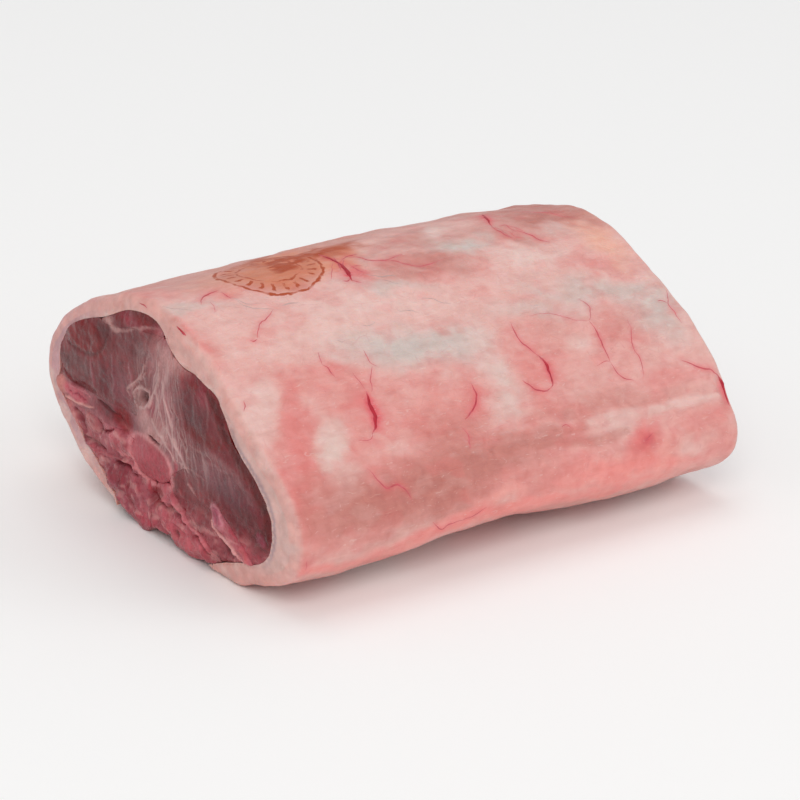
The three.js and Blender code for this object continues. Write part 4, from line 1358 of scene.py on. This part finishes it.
def tube(line, normals, radius):
    """A flat tapered tube of uneven width along a line on the skin, as points and polygons."""
    thick = radius * fullness(len(line)) * (1 + 0.3 * lumps(line, 3, 95))
    ahead = np.gradient(line, axis=0)
    ahead /= np.linalg.norm(ahead, axis=1)[:, None]
    aside = np.cross(ahead, normals)
    runs = []
    for turn in np.arange(TUBE_SIDES) * 2 * np.pi / TUBE_SIDES:
        up = math.sin(turn) * TUBE_HEIGHT - TUBE_SUNK
        runs.append(line + (aside * math.cos(turn) + normals * up) * thick[:, None])
    points = np.stack(runs, 1).reshape(-1, 3)
    polygons = quads(len(line), TUBE_SIDES)
    polygons += [list(range(TUBE_SIDES)), list(range(len(points) - TUBE_SIDES, len(points)))]
    return points, polygons


VEIN_STEP = 0.7
VEIN_WANDER = 0.35


def drawn_line(tree, knots):
    """The line on the skin that runs under these pixels of the photograph, and the skin's normals there."""
    places = [on_skin(tree, pixel) for pixel in curve_through(knots, 2.0)]
    line = curve_through([place for place in places if place], VEIN_STEP)
    wander = np.column_stack([lumps(line, 3.5, seed) for seed in (92, 93, 94)])
    return laid_on(tree, line + VEIN_WANDER * wander)


def laid_on(tree, line):
    """A line laid on the skin, and the skin's normals there."""
    found = [tree.find_nearest(Vector(place)) for place in line]
    return np.array([hit[0] for hit in found]), np.array([hit[1] for hit in found])


HIDDEN_VEINS = 24
WELL_OUTSIDE = 200
VEINS_ABOVE = 4  # mm above the board


def wandering_lines(tree, count, seed):
    """Branching veins on the sides that the photograph doesn't show, as lines with their widest radius."""
    draw = np.random.default_rng(seed)
    lines = []
    while len(lines) < count:
        away = draw.uniform(0.15, 0.9) * math.pi
        along_it = draw.uniform(-0.8, 0.8) * HALF
        start = Vector((along_it, math.cos(away) * WELL_OUTSIDE, 30 + math.sin(away) * WELL_OUTSIDE))
        place, normal = tree.find_nearest(start)[:2]
        if faces_camera(place, normal) or place.z < VEINS_ABOVE + 2:
            continue
        heading = Vector((draw.normal(), draw.normal(), draw.normal()))
        grow_vein(tree, draw, lines, place, heading, draw.uniform(14, 34), draw.uniform(0.3, 0.6), 1)
    return lines


def faces_camera(place, normal):
    return normal.dot(Vector(CAMERA_PLACE) - place) > -0.03 * CAMERA_DISTANCE


def grow_vein(tree, draw, lines, place, heading, length, radius, forks):
    """Adds a vein that bends as it goes, and forks at most this often; it stops near an edge or in view."""
    line = [place]
    bend = draw.normal(0, 0.012)
    for _ in range(int(length / VEIN_STEP)):
        place, normal = tree.find_nearest(place)[:2]
        heading = heading - heading.dot(normal) * normal
        heading = (Matrix.Rotation(bend + draw.normal(0, 0.1), 3, normal) @ heading).normalized()
        place = tree.find_nearest(place + heading * VEIN_STEP)[0]
        if abs(place.x) > HALF - 5 or place.z < VEINS_ABOVE or faces_camera(place, normal):
            break
        line.append(place)
        if forks and draw.random() < 1.3 * VEIN_STEP / length:
            side = Matrix.Rotation(draw.choice([-1, 1]) * draw.uniform(0.4, 0.9), 3, normal) @ heading
            grow_vein(tree, draw, lines, place, side, length * 0.55, radius * 0.65, forks - 1)
    if len(line) > 6:
        lines.append((radius, laid_on(tree, np.array(line))))


def vessel_mesh(name, lines, thin, full):
    """All these lines as tubes in one mesh; the fuller they are, the nearer their colour is to full."""
    points, polygons, share, total = [], [], [], 0
    for radius, (line, normals) in lines:
        some, sides = tube(line, normals, radius)
        points.append(some)
        polygons += [[corner + total for corner in side] for side in sides]
        share.append(np.repeat(ease(0.12, 0.6, radius * fullness(len(line))), len(some) // len(line)))
        total += len(some)
    mesh = solid_mesh(name, np.vstack(points), polygons)
    fill(mesh, "tint", toward(np.tile(linear(thin), (total, 1)), full, np.concatenate(share)))
    return mesh


def fan(corners):
    """A polygon's corners as triangles."""
    return [(corners[0], corners[i], corners[i + 1]) for i in range(1, len(corners) - 1)]


def fat_tint(bar, outward, veins):
    """The skin's colours on the sides, and the cut fat's on the faces, the rims and where meat lies on it."""
    sides = bar.sides.reshape(-1, 3)
    skin = skin_colours(sides, outward, veins)
    from_end = np.repeat(bar.from_end, bar.sides.shape[1])
    open_there = np.tile(bar.open, len(bar.stations))
    near = (sides[:, 0] < 0)[:, None]
    no_meat = np.full(len(sides), HALF)
    cut = np.where(near, *(fat_face_colours(sides, end, from_end * 0.8, no_meat) for end in ENDS))
    tint = skin + (cut - skin) * np.maximum(ease(4, 0.3, from_end), 1 - open_there)[:, None]
    for end in ENDS:
        ring = bar.sides[0 if end < 0 else -1]
        to_skin = nearest(bar.faces[end], ring[bar.open > 0.6])[0] + 1.5
        to_meat = nearest(bar.faces[end], ring[bar.open < 0.4])[0]
        tint = np.vstack([tint, fat_face_colours(bar.faces[end], end, to_skin, to_meat)])
    return tint


FAR_AWAY = 1000.0


def ink_places(bar, tree):
    """Places from the middle of the ink mark, along the backbone and round the back, in mm."""
    sides = bar.sides.reshape(-1, 3)
    round_it = np.tile(bar.arc, len(bar.stations))
    middle = np.array(on_skin(tree, INK_PIXEL))
    from_middle = round_it - round_it[nearest(middle[None], sides)[1][0]]
    places = np.full((len(bar.points), 3), FAR_AWAY)
    places[: len(sides)] = np.column_stack([sides[:, 0] - middle[0], from_middle, np.zeros(len(sides))])
    return places


def ink_smear(bar, outward):
    """How thickly ink is smeared at each point, where the photograph shows it."""
    seen = shifted(pixels_of(bar.points), bar.points, 4, 6, 73)
    smear = sum(mark["strength"] * cover(mark, *seen.T) for mark in INK_BLOTCHES)
    facing = np.zeros(len(bar.points))
    facing[: len(outward)] = outward @ BACK
    smear *= ease(-0.05, 0.1, facing) * ease(-0.7, -0.2, lumps(bar.points, (6, 3, 3), 75))
    return smear.clip(0, 1)


def make_fat():
    """The fat under its skin, with the veins and streaks on it."""
    bar = Bar("fat_cover", (-26, 0), fine=0.85, coarse=2.2, rim=4, step=1.15, soft=1.0, softest=3.2)
    bar.build(fat_rise, skin_swell)
    mesh = bar.mesh("cut_fat_cover")
    triangles = [corners for polygon in mesh.polygons for corners in fan(polygon.vertices)]
    tree = BVHTree.FromPolygons(bar.points.tolist(), triangles)
    veins = [(radius, drawn_line(tree, knots)) for radius, knots in VEINS]
    streaks = [(radius, drawn_line(tree, knots)) for radius, knots in STREAKS]
    veins += wandering_lines(tree, HIDDEN_VEINS, 91)
    outward = np.zeros(len(bar.points) * 3)
    mesh.vertices.foreach_get("normal", outward)
    outward = outward.reshape(-1, 3)[: len(bar.sides.reshape(-1, 3))]
    fill(mesh, "tint", fat_tint(bar, outward, veins))
    fill(mesh, "ink", ink_places(bar, tree))
    fill(mesh, "smear", ink_smear(bar, outward))
    place_piece(mesh, lamb_fat(), "fat", "fat_cover")
    blood = vessel()
    place_piece(vessel_mesh("veins", veins, "#D2646C", "#B01A2E"), blood, "fat")
    place_piece(vessel_mesh("streaks", streaks, "#C6A5A0", "#9A7F7C"), blood, "fat")


# ---- floor and light --------------------------------------------------------------------------------


def make_floor():
    """White matt paper, which only takes a soft shadow."""
    material, tree = new_material("matt_paper")
    shader = add(tree, "BsdfPrincipled", {"Base Color": (*linear("#FDFDFD"), 1), "Roughness": 0.7})
    add(tree, "OutputMaterial", {"Surface": shader})
    side = 6.0
    mesh = bpy.data.meshes.new("floor")
    corners = [(x * side, y * side, 0) for x, y in ((-1, -1), (1, -1), (1, 1), (-1, 1))]
    mesh.from_pydata(corners, [], [(0, 1, 2, 3)])
    mesh.materials.append(material)
    floor = put_in_scene("floor", mesh)


LIT_POINT = Vector((0, 0, 0.03))


def make_light(name, place, size, power, colour):
    """A soft square light in metres and watts that looks at the loin."""
    light = bpy.data.lights.new(name, "AREA")
    light.size = size
    light.energy = power
    light.color = linear(colour)
    made = put_in_scene(name, light)
    made.location = place
    made.rotation_euler = (LIT_POINT - Vector(place)).to_track_quat("-Z", "Y").to_euler()


def make_studio():
    make_light("key", (-1.9, -2.2, 2.6), 2.0, 46, "#FFFCF8")
    make_light("fill", (2.4, -2.2, 1.6), 2.0, 20, "#FAFCFF")
    make_light("top", (0.2, 0.6, 3.2), 2.4, 22, "#FFFFFF")
    world = bpy.data.worlds.new("studio")
    bpy.context.scene.world = world
    world.use_nodes = True
    background = world.node_tree.nodes["Background"]
    background.inputs["Color"].default_value = (*linear("#FAFAFA"), 1)
    background.inputs["Strength"].default_value = 0.55
    bpy.context.scene.view_settings.view_transform = "Standard"
    bpy.context.scene.cycles.use_denoising = True


# ---- the loin ---------------------------------------------------------------------------------------

make_camera()
make_fat()
lamb = raw_lamb()
bone = sawn_bone()
make_meat("loin_muscle_left", "lean", lamb, (20, 45), fine=1.0, coarse=1.0, rim=1.0, step=12)
make_meat("loin_muscle_right", "lean", lamb, (-20, 45), fine=0.9, coarse=1.2, rim=1.5, step=1.6)
make_meat("strap_muscle", "lean", lamb, (20, 70), fine=1.0, coarse=1.0, rim=1.0, step=12)
make_meat("tenderloin_left", "tenderloin", lamb, (20, 18), fine=0.8, coarse=1.2, rim=1.5, step=1.4)
make_meat("tenderloin_right", "tenderloin", lamb, (-10, 15), fine=0.8, coarse=1.2, rim=1.5, step=1.4)
make_meat("backbone", "bone", bone, (0, 60), fine=0.8, coarse=1.0, rim=0.8, step=4)
make_meat("cross_process_right", "bone", bone, (-20, 22), fine=0.8, coarse=1.0, rim=0.8, step=6)
make_floor()
make_studio()
